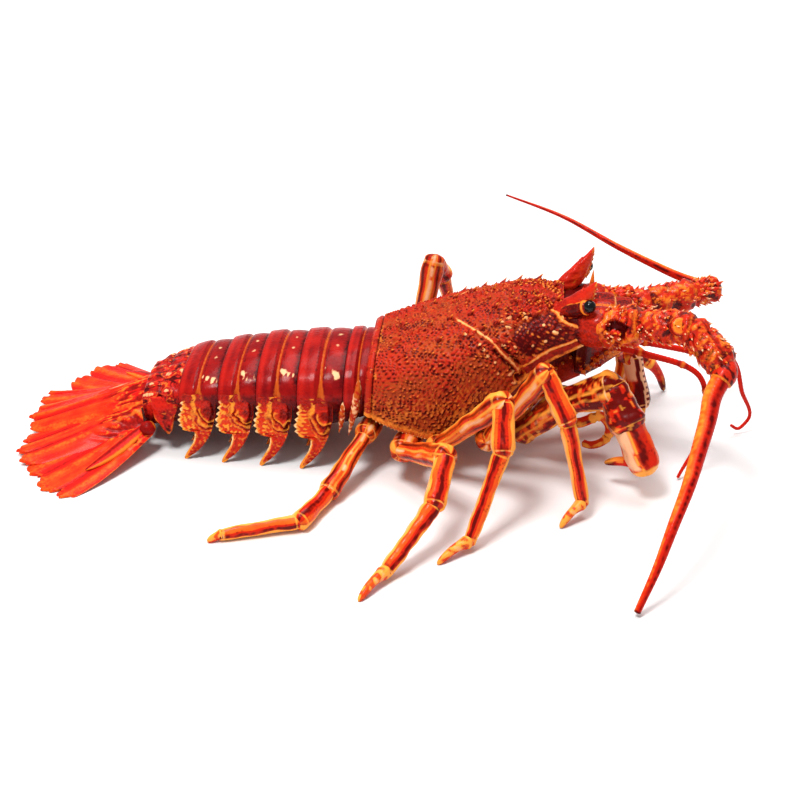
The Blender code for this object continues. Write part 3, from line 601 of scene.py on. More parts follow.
def make_finishes():
    return {
        "back": shell("boiled back shell", (0.48, 0.074, 0.013), (0.36, 0.040, 0.009),
                      (0.80, 0.23, 0.028), (0.08, 0.002, 0.002), (0.92, 0.44, 0.17),
                      (0.46, 0.020, 0.007), rough=0.42, coat=0.06, bump=1.4, blotch=0.007,
                      ragged=0.55),
        "tail": shell("boiled tail plates", (0.27, 0.004, 0.004), (0.20, 0.003, 0.004),
                      (0.52, 0.085, 0.010), (0.05, 0.001, 0.002), (0.92, 0.50, 0.25),
                      (0.44, 0.010, 0.006), rough=0.30, coat=0.11, bump=0.9, freckle=0.15,
                      ragged=0.5),
        "root": shell("mottled last plate", (0.34, 0.006, 0.005), (0.24, 0.003, 0.004),
                      (0.74, 0.14, 0.016), (0.07, 0.001, 0.002), (0.90, 0.42, 0.19),
                      (0.58, 0.014, 0.007), rough=0.36, coat=0.10, bump=1.4, freckle=0.35,
                      blotch=0.004, grainy=0.0012, ragged=0.7),
        "flap": shell("tail side plates", (0.82, 0.060, 0.009), (0.62, 0.024, 0.006),
                      (0.93, 0.30, 0.030), (0.12, 0.003, 0.003), (0.94, 0.60, 0.28),
                      (0.58, 0.018, 0.007), rough=0.32, coat=0.15, bump=1.3, freckle=0.15,
                      grainy=0.0011, ragged=0.4),
        "fan": shell("leathery tail fan", (0.70, 0.029, 0.006), (0.74, 0.052, 0.008),
                     (0.84, 0.20, 0.018), (0.22, 0.004, 0.003), (0.93, 0.52, 0.26),
                     (0.70, 0.010, 0.007), rough=0.45, coat=0.06, bump=1.2, blotch=0.008,
                     ragged=0.35),
        "leg": shell("leg shell", (0.80, 0.070, 0.008), (0.86, 0.130, 0.012),
                     (0.95, 0.36, 0.045), (0.13, 0.003, 0.002), (0.94, 0.50, 0.27),
                     (0.62, 0.018, 0.005), rough=0.32, coat=0.16, freckle=0.45, bump=0.9,
                     streaks=(9.0, 1.6), ragged=0.55),
        "stalk": shell("antenna stalk shell", (0.42, 0.014, 0.006), (0.52, 0.030, 0.007),
                       (0.88, 0.22, 0.018), (0.08, 0.002, 0.002), (0.93, 0.52, 0.26),
                       (0.60, 0.020, 0.006), rough=0.32, coat=0.16, freckle=0.2, bump=1.4,
                       blotch=0.005, grainy=0.0011, ragged=0.45),
        "whip": shell("ringed whip", (0.76, 0.050, 0.006), (0.82, 0.095, 0.009),
                      (0.92, 0.30, 0.030), (0.10, 0.002, 0.002), (0.93, 0.48, 0.24),
                      (0.56, 0.012, 0.004), rough=0.38, coat=0.06, bump=0.8,
                      streaks=(7.0, 14.0), ragged=0.3),
        "eye": Finish("wet black eye", Base_Color=(0.004, 0.003, 0.004, 1), Roughness=0.12,
                      Specular_IOR_Level=0.12, Coat_Weight=0.25, Coat_Roughness=0.03).material,
    }


def rib(t, share):
    """Points of the back shell for places along it and shares down its ribs, from -1 on
    the right side's lower edge to 1 on the left's."""
    top_x, top_z, wide_y, wide_z, edge_x, edge_y, edge_z = np.moveaxis(
        smooth(CARAPACE_RIBS, t), -1, 0)
    down = np.abs(share)
    turn = np.clip(down / ARCH_END, 0, 1) * math.pi / 2
    power = 2 / CARAPACE_SQUARENESS
    y = wide_y * np.sin(turn) ** power
    z = wide_z + (top_z - wide_z) * np.cos(turn) ** power
    low = np.clip((down - ARCH_END) / (1 - ARCH_END), 0, 1)
    y = y - (wide_y - edge_y) * low ** 1.74
    z = z - (wide_z - edge_z) * low
    fall = (top_z - z) / (top_z - edge_z)
    return np.stack([top_x + (edge_x - top_x) * fall, np.sign(share) * y, z], axis=-1)


def on_rib(t, share, side):
    """A point on the back shell and the way out of it."""
    here = rib(np.array(t), np.array(side * share))
    along = rib(np.array(min(t + 0.02, 1)), np.array(side * share)) - rib(
        np.array(max(t - 0.02, 0)), np.array(side * share))
    down = rib(np.array(t), np.array(side * min(share + 0.04, 1))) - rib(
        np.array(t), np.array(side * max(share - 0.04, 0.001)))
    out = unit(np.cross(along, down))
    return here, out if out @ (here - np.array([here[0], 0, 50])) > 0 else -out


def make_back_shell(finishes):
    """The shell of head and thorax: studded, grooved, rimmed behind, open in front."""
    rows, columns = 250, 271
    t = np.linspace(0, 1, rows)[:, None] + np.zeros((1, columns))
    share = np.linspace(-1, 1, columns)[None, :] + np.zeros((rows, 1))
    skin = rib(t, share)
    along = unit(np.gradient(skin, axis=0))
    out = unit(np.cross(np.gradient(skin, axis=1), along))
    out *= np.sign(np.sum(out * (skin - np.array([0, 0, 50]) * [1, 0, 1]
                                 - skin * [1, 0, 0]), axis=-1, keepdims=True))
    both = skin * [1, 0, 1] + np.abs(skin) * [0, 1, 0]
    arc = np.cumsum(np.linalg.norm(np.diff(skin, axis=1, prepend=skin[:, :1]), axis=-1), axis=1)
    arc = np.abs(arc - arc[:, columns // 2:columns // 2 + 1])
    x, y, z = both[..., 0], both[..., 1], both[..., 2]

    groove = far_from(both, laid_on(both, CERVICAL_GROOVE))
    margin = far_from(both, laid_on(both, FRONT_MARGIN))
    cheek_line = far_from(both, laid_on(both, CHEEK_LINE))
    patch = inside(x, z, CHEEK_PATCH, 1.6) * step(12, 16, y)
    hole = np.linalg.norm(both - CHEEK_HOLE, axis=-1)
    strip = (step(0.3, 1.5, np.abs(cheek_line)) * step(64, 70, x)
             * (z < 58.8 + 0.575 * (x - 66.5)) * step(20, 21, y))
    rear = t * 100
    edge = (1 - np.abs(share)) * 60
    before = step(-1.0, 1.0, (x - 0.6 * (z - 60)) - 36)
    low_end = step(74.5, 69.0, z)
    uneven, patchy = grain(skin, 11.0, 1), grain(skin, 4.0, 2)

    lengthwise, crosswise = rear * 0.80 + arc * 0.60, arc * 0.80 - rear * 0.60
    warp = (grain(skin, 7.0, 4) - 0.5) * 2.4
    stud, size = studs(lengthwise * 0.78 + warp, crosswise * 1.12 - warp, 2.05, 3.0)
    shade, _ = studs((lengthwise - 0.75) * 0.78 + warp, (crosswise - 0.55) * 1.12 - warp,
                     2.05, 3.0)
    reach = (0.62 + 0.35 * step(0.55, 0.95, t)) * size
    knob = np.clip(1 - (stud / (reach * 1.25)) ** 2, 0, 1)
    shadow = np.clip(1 - (shade / (reach * 1.35)) ** 2, 0, 1)
    bare = np.maximum.reduce([1 - step(3.4, 4.6, rear), hump(groove, 0, 1.3),
                              hump(margin, 0, 1.2), hump(cheek_line, 0, 1.0), patch, strip,
                              1 - step(0.8, 2.2, edge)])
    lift = 1.15 * knob * (1 - np.minimum(bare, 1 - 0.25 * patch))
    lift *= (0.7 + 0.5 * step(0.6, 0.95, t)) * (0.6 + 0.7 * patchy)
    lift += 0.35 * (uneven - 0.5) + 0.5 * hump(rear, 2.0, 1.2) - 0.7 * hump(rear, 3.7, 0.5)
    lift += 0.35 * hump(groove, 0, 0.8) - 1.5 * hump(groove, 1.9, 0.9) * before * low_end
    lift += 0.6 * hump(margin, 0, 0.7) - 0.6 * hump(margin, 1.8, 0.8)
    lift += 0.6 * hump(cheek_line, 0, 0.6) - 0.5 * patch - 0.3 * strip
    lift -= 1.6 * hump(hole, 0, 2.2)
    lift += 0.4 * hump(edge, 0.8, 0.8)
    marks = no_marks(skin)
    put(marks, DARK_AND_SHADE, shadow * (1 - 0.8 * knob) * (1 - bare) * (0.6 + 0.35 * uneven)
        + 0.35 * step(0.5, 0.75, patchy))
    # Painted shade: patches along the top of the shell are darkened, where the lamps light it
    # most.
    put(marks, DARK_AND_SHADE, 0.30 * step(0.5, 0.2, np.abs(share)) * step(0.35, 0.6, grain(skin, 2.6, 6)))
    put(marks, HOT, 0.32 + 0.25 * step(0.6, 0.95, t) + 0.7 * knob + 0.6 * (uneven - 0.4))
    marks[..., HOT] *= 1 - 0.75 * step(0.72, 1.0, np.abs(share)) * (1 - step(0.6, 0.8, t))
    put(marks, HOT, 0.95 * (1 - step(3.0, 3.6, rear)))
    # Painted shade in the groove behind the rear rim and along the rear edge over the first tail
    # plate.
    put(marks, DARK_AND_SHADE, 0.85 * hump(rear, 3.7, 0.45) + 0.6 * hump(rear, 0.2, 0.5))
    put(marks, RIDGE, 0.6 * hump(rear, 5.0, 0.7) * patchy
        + 0.7 * hump(edge, 1.2, 1.6) * step(0.80, 0.70, t) + hump(edge, 0.4, 0.8))
    put(marks, RIDGE, (0.55 - 0.5 * shadow) * step(0.62, 1.0, np.abs(share))
        * (1 - step(0.6, 0.8, t)) * (0.4 + 0.6 * uneven))
    # Light orange on the larger stud tops: their paler colour and a painted highlight.
    put(marks, RIDGE, (0.55 + 0.3 * step(0.6, 0.9, t)) * step(0.70, 0.9, knob)
        * step(0.4, 0.6, patchy))
    # Painted shade in the trench beside the neck groove.
    put(marks, DARK_AND_SHADE, 0.95 * hump(groove, 2.0, 0.95) * before * low_end * step(10, 18, y))
    line_on = step(11, 15, y)
    marks[..., DARK_AND_SHADE] *= 1 - hump(groove, 0, 0.7) * line_on
    put(marks, RIDGE, step(0.75, 0.25, groove) * line_on * (0.45 + 0.8 * patchy))
    put(marks, CREAM, hump(groove, 0, 0.42) * line_on * (0.5 + 0.5 * patchy))
    marks[..., DARK_AND_SHADE] = np.maximum(marks[..., DARK_AND_SHADE], patch)
    marks[..., HOT] *= 1 - patch
    marks[..., RIDGE] *= 1 - patch
    marks[..., DARK_AND_SHADE] -= 0.45 * patch * step(0.3, 0.7, knob)
    put(marks, HOT, 0.8 * patch * (knob > 0.5))
    for channel in (RIDGE, CREAM):
        marks[..., channel] *= 1 - strip
    marks[..., DARK_AND_SHADE] = np.where(strip > 0.3, 0.35, marks[..., DARK_AND_SHADE])
    put(marks, HOT, strip)
    put(marks, RIDGE, strip * step(2.6, 1.5, edge) * (0.5 + 0.8 * patchy))
    put(marks, CREAM, 0.6 * strip * step(1.9, 1.2, edge) * step(0.4, 0.6, patchy))
    put(marks, RIDGE, 0.6 * patch * step(0.70, 0.9, knob) * (size > 1.16) * (x < 85))
    ahead_of = step(0.6, 2.2, margin) * (x > np.interp(z, (72, 75.5, 79.7, 81.5, 84.1),
                                                        (95, 92.3, 86.3, 83.7, 82.6)))
    put(marks, DARK_AND_SHADE, 0.8 * ahead_of * step(14, 17, y))
    marks[..., RIDGE] *= 1 - ahead_of * step(14, 17, y)
    for line in (margin, cheek_line):
        marks[..., DARK_AND_SHADE] *= 1 - step(1.3, 0.5, line) * step(14, 16, y)
    put(marks, RIDGE, step(1.0, 0.45, margin) * step(14, 16, y) + step(0.95, 0.4, cheek_line))
    put(marks, CREAM, 0.5 * step(0.6, 0.2, cheek_line) * (x > 70)
        + 0.4 * step(0.6, 0.2, margin) * step(14, 16, y))
    # Painted shade in the cheek hole and in the trench beside the front margin.
    put(marks, DARK_AND_SHADE, hump(hole, 0, 2.0) + 0.8 * hump(margin, 1.9, 0.8) * patch)
    put(marks, RIDGE, hump(hole, 3.0, 0.5) * 0.8)
    for dot in laid_on(both, CHEEK_DOTS, len(CHEEK_DOTS)).tolist() + list(GROOVE_DOTS):
        spot = np.linalg.norm(both - dot, axis=-1)
        put(marks, CREAM, step(0.95, 0.45, spot))
        lift += 0.4 * hump(spot, 0, 0.8)
    pale = (size > 1.2) * (knob > 0.45) * (1 - bare) * step(52, 60, x) * step(14, 20, y)
    put(marks, CREAM, pale * 0.7)
    skin = skin + out * lift[..., None]
    corner = step(0.84, 1.0, t) * step(0.55, 0.85, np.abs(share))
    skin = skin + CORNER_REACH * corner[..., None] * [1, 0, 0]

    inner = skin[:, [-1, 0]] * [1, 0.95, 1] + [0, 0, 1.2]
    skin = np.concatenate([skin, inner], axis=1)
    # Painted shade: the inner side of the shell's lower edge is laid fully dark.
    dark = no_marks(inner)
    dark[..., DARK_AND_SHADE] = 1
    marks = np.concatenate([marks, dark], axis=1)
    front_middle = np.array([[86.0, 0, 76.0]])
    rear_middle = np.array([[-3.0, 0, 44.0]])
    lips = []
    for ring, middle, push in ((skin[-1], front_middle, (-0.5, -3.5, -5.0)),
                               (skin[0], rear_middle, (0.4, 1.6, 2.4))):
        lips.append([middle + (ring - middle) * scale + [x_push, 0, 0]
                     for scale, x_push in zip((0.965, 0.93, 0.5), push)])
    # Painted shade: the lips that close the shell's open ends are dark, like a shaded cavity.
    shaded_lip_marks = np.zeros((3,) + marks.shape[1:])
    shaded_lip_marks[..., DARK_AND_SHADE] = np.array([0.5, 0.7, 0.5])[:, None]
    shaded_lip_marks[..., HOT] = 1
    skin = np.concatenate([np.array(lips[1])[::-1], skin, np.array(lips[0])])
    marks = np.concatenate([shaded_lip_marks[::-1], marks, shaded_lip_marks])
    parts = [loft(skin, marks)]

    rng = random.Random(SEED)
    for first_share, first, last, count in ((0.13, 0.30, 0.93, 7), (0.34, 0.36, 0.93, 7),
                                            (0.56, 0.62, 0.90, 5)):
        for i in range(count):
            at = first + (last - first) * i / (count - 1)
            for side in (-1, 1):
                foot, way = on_rib(at + rng.uniform(-0.012, 0.012),
                                   first_share + rng.uniform(-0.02, 0.02), side)
                if inside(np.array(foot[0]), np.array(foot[2]), CHEEK_PATCH, 1.0) > 0.3:
                    continue
                length = 2.4 + 2.2 * at + rng.uniform(-0.4, 0.4)
                lean = unit(way + np.array([0.75, 0, 0.1]))
                parts.append(thorn(foot, lean, length * 0.9, length * 0.36,
                                   tip=RIDGE, root=DARK_AND_SHADE, lean=(0.15, 0, 0.12)))
    small = random.Random(SEED + 1)
    for i in range(150):
        at, down = small.uniform(0.12, 0.95), small.uniform(0.0, 0.62)
        side = small.choice((-1, 1))
        foot, way = on_rib(at, down, side)
        if inside(np.array(foot[0]), np.array(foot[2]), CHEEK_PATCH, 1.0) > 0.3:
            continue
        length = small.uniform(1.2, 1.7) + 0.9 * at
        parts.append(thorn(foot, unit(way + np.array([0.6, 0, 0.1])), length, length * 0.42,
                           tip=small.choice((RIDGE, HOT, HOT)),
                           root=small.choice((DARK_AND_SHADE, HOT)), count=6))
    for i in range(26):
        for side in (-1, 1):
            at = 0.06 + 0.5 * i / 26
            foot, way = on_rib(at, 0.985, side)
            parts.append(thorn(foot, unit(way * 0.5 + np.array([0.3, 0, -0.6])), 1.9, 0.8,
                               tip=CREAM, root=RIDGE, count=6))
    piece("back_shell", join(parts), finishes["back"], "carapace_brown", "carapace")
    piece("brow_horns", join(horn(-1) + horn(1)), finishes["flap"], "carapace_brown")


def horn(side):
    """The broad flat horn over an eye, toothed along its front and stepped behind."""
    base = np.array([HORN_BASE[0], side * HORN_BASE[1], HORN_BASE[2]])
    tip = np.array([HORN_TIP[0], side * HORN_TIP[1], HORN_TIP[2]])
    share = np.linspace(-0.12, 1, 44)
    sweep = np.interp(share, (0, 0.3, 0.6, 0.85, 1), (-1.5, -1.2, -0.6, 0.2, 0))
    centre = base + share[:, None] * (tip - base) + sweep[:, None] * [1, 0, 0]
    width = 1 - np.clip(share, 0, 1) ** 1.3 * 0.96
    turn = turns(36)
    c, s = np.cos(turn), np.sin(turn)
    steps = 0.35 * np.sin(share * 21.0)[:, None] * (c < -0.5) * width[:, None] ** 0.5
    long = unit(np.array([1, side * 0.42, 0.25]))
    rings = (centre[:, None] + ((HORN_LENGTH * width[:, None] + steps) * c)[..., None] * long
             + (HORN_WIDTH * width[:, None] ** 0.7 * s)[..., None] * [0, 1, 0])
    dents = grain(rings, 3.4, 12) - 0.5
    rings[..., 1] += side * 0.9 * dents * (np.abs(s) > 0.3) * width[:, None]
    marks = no_marks(rings)
    uneven = grain(rings, 5.0, 2)
    put(marks, HOT, (0.6 * step(0.4, -0.4, c)[None, :] + 0.5) * (0.6 + 0.4 * uneven))
    put(marks, DARK_AND_SHADE, 0.42 * step(-0.3, -0.95, c)[None, :] * (1 - step(0.75, 1.0, share))[:, None]
        * (0.45 + 0.7 * uneven))
    put(marks, RIDGE, step(0.80, 0.98, share)[:, None] * step(-0.2, 0.6, c)[None, :])
    put(marks, RIDGE, 0.8 * step(0.80, 0.97, c)[None, :] * (0.3 + grain(rings, 3.0, 8)))
    put(marks, RIDGE, 0.45 * step(0.12, 0.3, dents) * step(-0.3, 0.4, c)[None, :])
    parts = [loft(rings, marks)]
    for at, length in ((0.08, 2.4), (0.24, 2.2), (0.4, 2.2), (0.55, 2.0), (0.72, 1.6)):
        foot = (base + at * (tip - base)
                + long * HORN_LENGTH * (1 - at * 0.96) * 0.94 + [-1.2 * (1 - at), 0, 0])
        parts.append(thorn(foot, (0.75, side * 0.3, 0.5), length * 1.2, 1.1, tip=CREAM,
                           root=RIDGE))
    for at in (0.25, 0.5, 0.72):
        foot = base + at * (tip - base) - long * HORN_LENGTH * (1 - at * 0.96) * 0.9
        parts.append(thorn(foot, (0.1, 0, 1), 1.8, 1.1, tip=HOT))
    return parts


def make_underside(finishes):
    """The breast plate and mouth floor."""
    knots = ((0.00, 11.0, 22.0), (0.20, 14.0, 12.0), (0.40, 14.0, 10.5), (0.60, 13.0, 16.0),
             (0.80, 10.0, 31.0), (1.00, 8.0, 43.0))
    t = np.linspace(0, 1, 60)
    edge = rib(t, np.ones(60))
    half, low = smooth(knots, t).T
    high = edge[:, 2] - 0.8
    deep = low + (high - low) * 0.35
    flat = np.array([(1, 0, 1), (1.05, .35, .6), (1.02, .8, .2), (.8, 1, .03), (.5, 1, 0),
                     (.2, 1, .02), (0, 1, .05)])
    flat = np.vstack([flat, flat[::-1][1:] * [-1, 1, 1]])
    rings = np.stack([np.broadcast_to(edge[:, :1], (60, len(flat))),
                      half[:, None] * flat[:, 0],
                      low[:, None] + (high - low)[:, None] * flat[:, 2]], axis=-1)
    marks = no_marks(rings)
    put(marks, DARK_AND_SHADE, step(0.2, 0.8, flat[:, 2])[None, :] + 0 * t[:, None])
    put(marks, CREAM, 0.5 * hump(np.sin(t * 38), 1, 0.35)[:, None] * (flat[:, 2] < 0.3)[None, :])
    parts = [loft(rings, marks)]
    for x, z in BREAST_DOTS:
        parts += [thorn((x, side * 10.2, z), (0.2, side, 0.1), 1.3, 0.8, root=RIDGE)
                  for side in (-1, 1)]
    piece("breast_plate", join(parts), finishes["stalk"], "stalk_red", "thorax_underside")


def lean_of(height):
    """How far forward the rear wall of the mouth block lies at a height."""
    return np.minimum(86 + (86 - height) * 0.667, 96)


def make_head_front(finishes):
    """The block between the antennae, its scooped plates, upright thorn and toothed jaw."""
    forward = np.array([-3.0, 0.9, 3.0, 5.5, 8.0, 11.0, 15.0, 18.0, 21.0])
    low, high, half = smooth(((-3.0, 46, 82, 17.5), (0.9, 45, 83, 17.0), (5, 45.5, 82, 14.0),
                              (8, 46, 83, 10.5), (15, 51, 80, 7.6), (21, 55, 74, 4.8)),
                             forward).T
    turn = turns(48)
    y = np.sign(np.cos(turn)) * np.abs(np.cos(turn)) ** 0.6
    z = 0.5 + 0.5 * np.sign(np.sin(turn)) * np.abs(np.sin(turn)) ** 0.75
    height = low[:, None] + (high - low)[:, None] * z
    lean = np.where(forward[:, None] < 5, lean_of(height), 95)
    rings = np.stack([lean + forward[:, None], y * half[:, None], height], axis=-1)
    rings = np.concatenate([rings, rings[-1:] * 0.4 + rings[-1].mean(axis=0) * 0.6 + [1.5, 0, 0]])
    marks = no_marks(rings)
    put(marks, HOT, 1 + 0 * rings[..., 0])
    # Darker next to the shell's front edge and low down: partly the block's own dark colour,
    # partly painted shade under the shell.
    put(marks, DARK_AND_SHADE, 0.28 + 0.75 * step(6.0, 3.0, rings[..., 0] - lean_of(rings[..., 2]))
        + 0.3 * step(62, 56, rings[..., 2]))
    put(marks, RIDGE, 0.7 * step(0.55, 0.75, grain(rings, 2.4, 7)) * (rings[..., 2] < 62))
    parts = [loft(rings, marks),
             thorn((98.5, 0, 80.5), (0.04, 0, 1), 16.5, 2.9, tip=RIDGE, count=12)]
    for middle, half_length, rise in (((105.0, 0, 79.0), 6.5, 5.5), ((114.0, 0, 77.5), 6.0, 4.5)):
        share = np.linspace(-1, 1, 26)
        round_off = np.sqrt(np.maximum(1 - share ** 4, 0.002))
        turn = turns(32)
        c, s = np.cos(turn)[None, :], np.sin(turn)[None, :]
        scoop = 1.6 * hump(c, 0, 0.5) * (s > 0)
        rings = np.stack([middle[0] + half_length * share[:, None] + 0 * c,
                          9.0 * round_off[:, None] * c,
                          middle[2] + round_off[:, None] * (rise * s - scoop)], axis=-1)
        marks = no_marks(rings)
        put(marks, DARK_AND_SHADE, 0.35 + 0.35 * hump(c, 0, 0.6) + 0 * rings[..., 0])
        put(marks, HOT, 1 + 0 * rings[..., 0])
        rim = hump(np.abs(c), 0.86, 0.12) * (s > 0) + hump(share, 0.86, 0.09)[:, None] * (s > 0)
        put(marks, RIDGE, rim)
        put(marks, CREAM, 0.7 * hump(share, 0.88, 0.06)[:, None] * (s > 0))
        parts.append(loft(rings, marks))
    rng = random.Random(SEED + 3)
    for side in (-1, 1):
        for i in range(7):
            foot = (97.0 + 2.1 * i, side * (15.5 - 1.25 * i), 50.5 + 1.5 * i)
            parts.append(thorn(foot, (0.5, side * 0.9, -0.3), 2.6, 1.1, tip=CREAM, root=RIDGE))
        for i in range(30):
            foot = (rng.uniform(95, 106), side * 13.0, rng.uniform(50, 66))
            foot = (foot[0], side * np.interp(foot[0], (95, 106), (16.5, 9.0)), foot[2])
            parts.append(thorn(foot, (0.3, side, 0.1), 1.4, 0.9, tip=RIDGE,
                               root=rng.choice((RIDGE, DARK_AND_SHADE, HOT)), count=6))
    piece("mouth_block", join(parts), finishes["stalk"], "stalk_red", "head_front")


def tail_skin(x, swell, columns=97):
    """Rings of the tail for arrays of x and swell: arch from the left over to the right,
    then the belly."""
    top, half, root, belly = np.moveaxis(
        smooth([(-row[0], *row[1:]) for row in TAIL_ARCHES], -x), -1, 0)[..., None]
    top, half = top + swell[:, None], half + swell[:, None]
    turn = np.linspace(0, math.pi, columns)
    power = 2 / TAIL_SQUARENESS
    y = half * np.sign(np.cos(turn)) * np.abs(np.cos(turn)) ** power
    z = root + (top - root) * np.sin(turn) ** power
    low = half - 4.0
    spread = np.linspace(-1, 1, 15)
    y = np.concatenate([y, low * spread], axis=1)
    z = np.concatenate([z, belly + 1.5 * (1 - spread ** 2)], axis=1)
    return np.stack([x[:, None] + 0 * y, y, z], axis=-1)


def make_tail(finishes):
    """The six plated segments, each with its side plates."""
    for number, (front, rear) in enumerate(zip(TERGITE_EDGES[:-1], TERGITE_EDGES[1:]), 1):
        front += -0.35 if number > 1 else 5.0
        share = np.concatenate([[0.0, 0.0], np.linspace(0.0, 0.965, 46), [0.985, 0.998, 1, 1]])
        swell = smooth(((0.0, -1.5), (0.2, -0.75), (0.38, -0.55), (0.455, -0.75),
                        (0.5, -1.5), (0.545, -0.75), (0.6, -0.05), (0.68, 0.15),
                        (0.85, 0.1), (1.0, 0.0)), share)[:, 0]
        swell[0], swell[1], swell[-4:] = -6.0, -2.2, (-0.05, -0.45, -1.3, -6.0)
        skin = tail_skin(front + (rear - front) * share, swell)
        columns = 97
        down = np.concatenate([np.abs(np.linspace(-1, 1, columns)), np.full(15, 1.4)])
        s, down = np.broadcast_arrays(share[:, None], down[None, :])
        marks = no_marks(skin)
        plates = down <= 1.01
        uneven = grain(skin, 6.0, number)
        if number < 6:
            flare = step(0.62, 1.0, down)
            groove = step(0.045 + 0.10 * flare, 0.02, np.abs(s - 0.5 + 0.03 * down))
            put(marks, RIDGE, groove * (0.7 + 0.3 * step(0.3, 0.7, down)) * plates)
            put(marks, HOT, (0.8 * hump(s, 0.90, 0.09) + 0.5 * hump(s, 0.66, 0.12)) * plates)
            # Painted shade at the plate's front, where the plate before overlaps it, on both sides
            # of the middle groove and where the rear edge rolls under.
            put(marks, DARK_AND_SHADE, (0.7 * hump(s, 0.0, 0.10) + 0.45 * hump(s, 0.40, 0.035)
                              + 0.45 * hump(s, 0.60, 0.03)) * (1 - 0.7 * flare))
            put(marks, DARK_AND_SHADE, 0.5 * step(0.975, 0.995, s))
            flank = inside(s * 20, down * 40, FLANK_PATCH, 1.2)
            strokes = grain(np.stack([s * 6 + down * 14, s * 20 - down * 9, 0 * s], axis=-1),
                            2.2, number + 20)
            put(marks, CREAM, flank * step(0.30, 0.55, strokes) * (number > 1))
            # Painted highlight: a small pale glint near the top of each plate after the first.
            put(marks, CREAM, 0.9 * hump(np.hypot((s - 0.22) * 20, (down - 0.10) * 40), 0, 0.8)
                * (number > 1))
        else:
            bumps = grain(skin * [0.7, 1, 1], 4.2, 33)
            fine = grain(skin, 2.2, 31)
            skin = skin * (1 + 0.06 * (bumps[..., None] - 0.5) * [0, 1, 0.6])
            put(marks, HOT, 0.3 + 0.6 * uneven)
            put(marks, RIDGE, (0.8 * hump(bumps, 0.62, 0.04) + 0.5 * hump(fine, 0.6, 0.04)
                               * step(0.4, 0.6, bumps)) * plates)
            put(marks, DARK_AND_SHADE, 0.8 * hump(bumps, 0.42, 0.06) + 0.5 * step(0.45, 0.25, fine))
            put(marks, CREAM, 0.7 * step(0.86, 0.94, bumps) * (down < 0.75))
        put(marks, HOT, 0.15 + 0.35 * uneven)
        put(marks, DARK_AND_SHADE, 0.85 * (down > 1.2))
        # Painted shade low on the flanks at the front of each plate.
        put(marks, DARK_AND_SHADE, 0.5 * step(0.80, 1.0, down) * (1 - step(0.30, 0.42, s)) * plates)
        parts = [loft(skin, marks)]
        if number == 1:
            parts += [spindle(((-9.0, side * 26.8, 48.0), (-9.8, side * 29.4, 41.0),
                               (-11.6, side * 30.6, 31.0), (-14.2, side * 31.0, 19.0)), 2.0)
                      for side in (-1, 1)]
            parts += [spindle(((-16.6, side * 30.2, 37.0), (-17.2, side * 31.2, 30.0),
                               (-18.8, side * 31.0, 20.0)), 1.5) for side in (-1, 1)]
        if number == 6:
            parts += [tail_corner(side) for side in (-1, 1)]
        piece(f"tail_plate_{number}", join(parts),
              finishes["tail" if number < 6 else "root"], "tail_dark_red",
              f"tail_segment_{number}")
        if 2 <= number <= 5:
            flaps = [pleuron(PLEURON_MIDDLES[number - 2], side, number) for side in (-1, 1)]
            piece(f"side_plates_{number}", join(flaps), finishes["flap"], "tail_dark_red")


def spindle(route, radius, count=30):
    """A thin curved ridge, pointed at both ends, light along its middle."""
    path = through(route, count)
    share = np.linspace(0, 1, count)
    rings = bar(path, radius * np.maximum(np.sin(math.pi * share ** 0.8) ** 0.8, 0.04), 14)
    rings = rings + (grain(rings, 3.0, 9)[..., None] - 0.5) * [0.6, 0.6, 0]
    marks = no_marks(rings)
    put(marks, RIDGE, 0.75 * step(0.35, 0.6, grain(rings, 2.6, 17)) + 0.3)
    put(marks, CREAM, 0.8 * step(0.60, 0.72, grain(rings, 2.4, 23)))
    put(marks, HOT, 0.8 + 0 * rings[..., 0])
    return loft(rings, marks)


def tail_corner(side):
    """The pointed lobe that hangs from each side of the last segment."""
    level = np.concatenate([np.linspace(0, 0.97, 30), [1.0]])[:, None]
    turn = turns(28)[None, :]
    c, s = np.cos(turn), np.sin(turn)
    front = -99.5 + (-104.8 + 99.5) * level ** 2.0 + 0.5 * np.sin(level * 9)
    rear = -113.5 + (-106.2 + 113.5) * level ** 1.5 + 0.5 * np.sin(level * 7 + 1)
    half = smooth([(-row[0], row[2]) for row in TAIL_ARCHES], -(front + rear) / 2)[..., 0]
    x = (front + rear) / 2 + (front - rear) / 2 * c
    y = (half - 1.6 + 2.0 * step(0.0, 0.5, level) - 0.8 * level ** 2
         + 1.5 * (1 - level ** 3) * s)
    z = 30.0 - 19.5 * level + 0 * c
    rings = np.stack([x, side * y, z], axis=-1)
    bumps = grain(rings, 3.0, 37)
    rings[..., 1] += side * 1.2 * (bumps - 0.5)
    marks = no_marks(rings)
    put(marks, HOT, 0.8 + 0 * x)
    put(marks, DARK_AND_SHADE, 0.8 * hump(c, 0.2, 0.55) * step(0.15, 0.4, level) * (0.4 + bumps))
    put(marks, RIDGE, 0.9 * step(0.76, 0.93, np.abs(c)) * step(0.2, 0.5, level) * (0.4 + bumps))
    put(marks, RIDGE, 0.6 * hump(bumps, 0.62, 0.05) + step(0.86, 0.98, level))
    return loft(rings, marks)


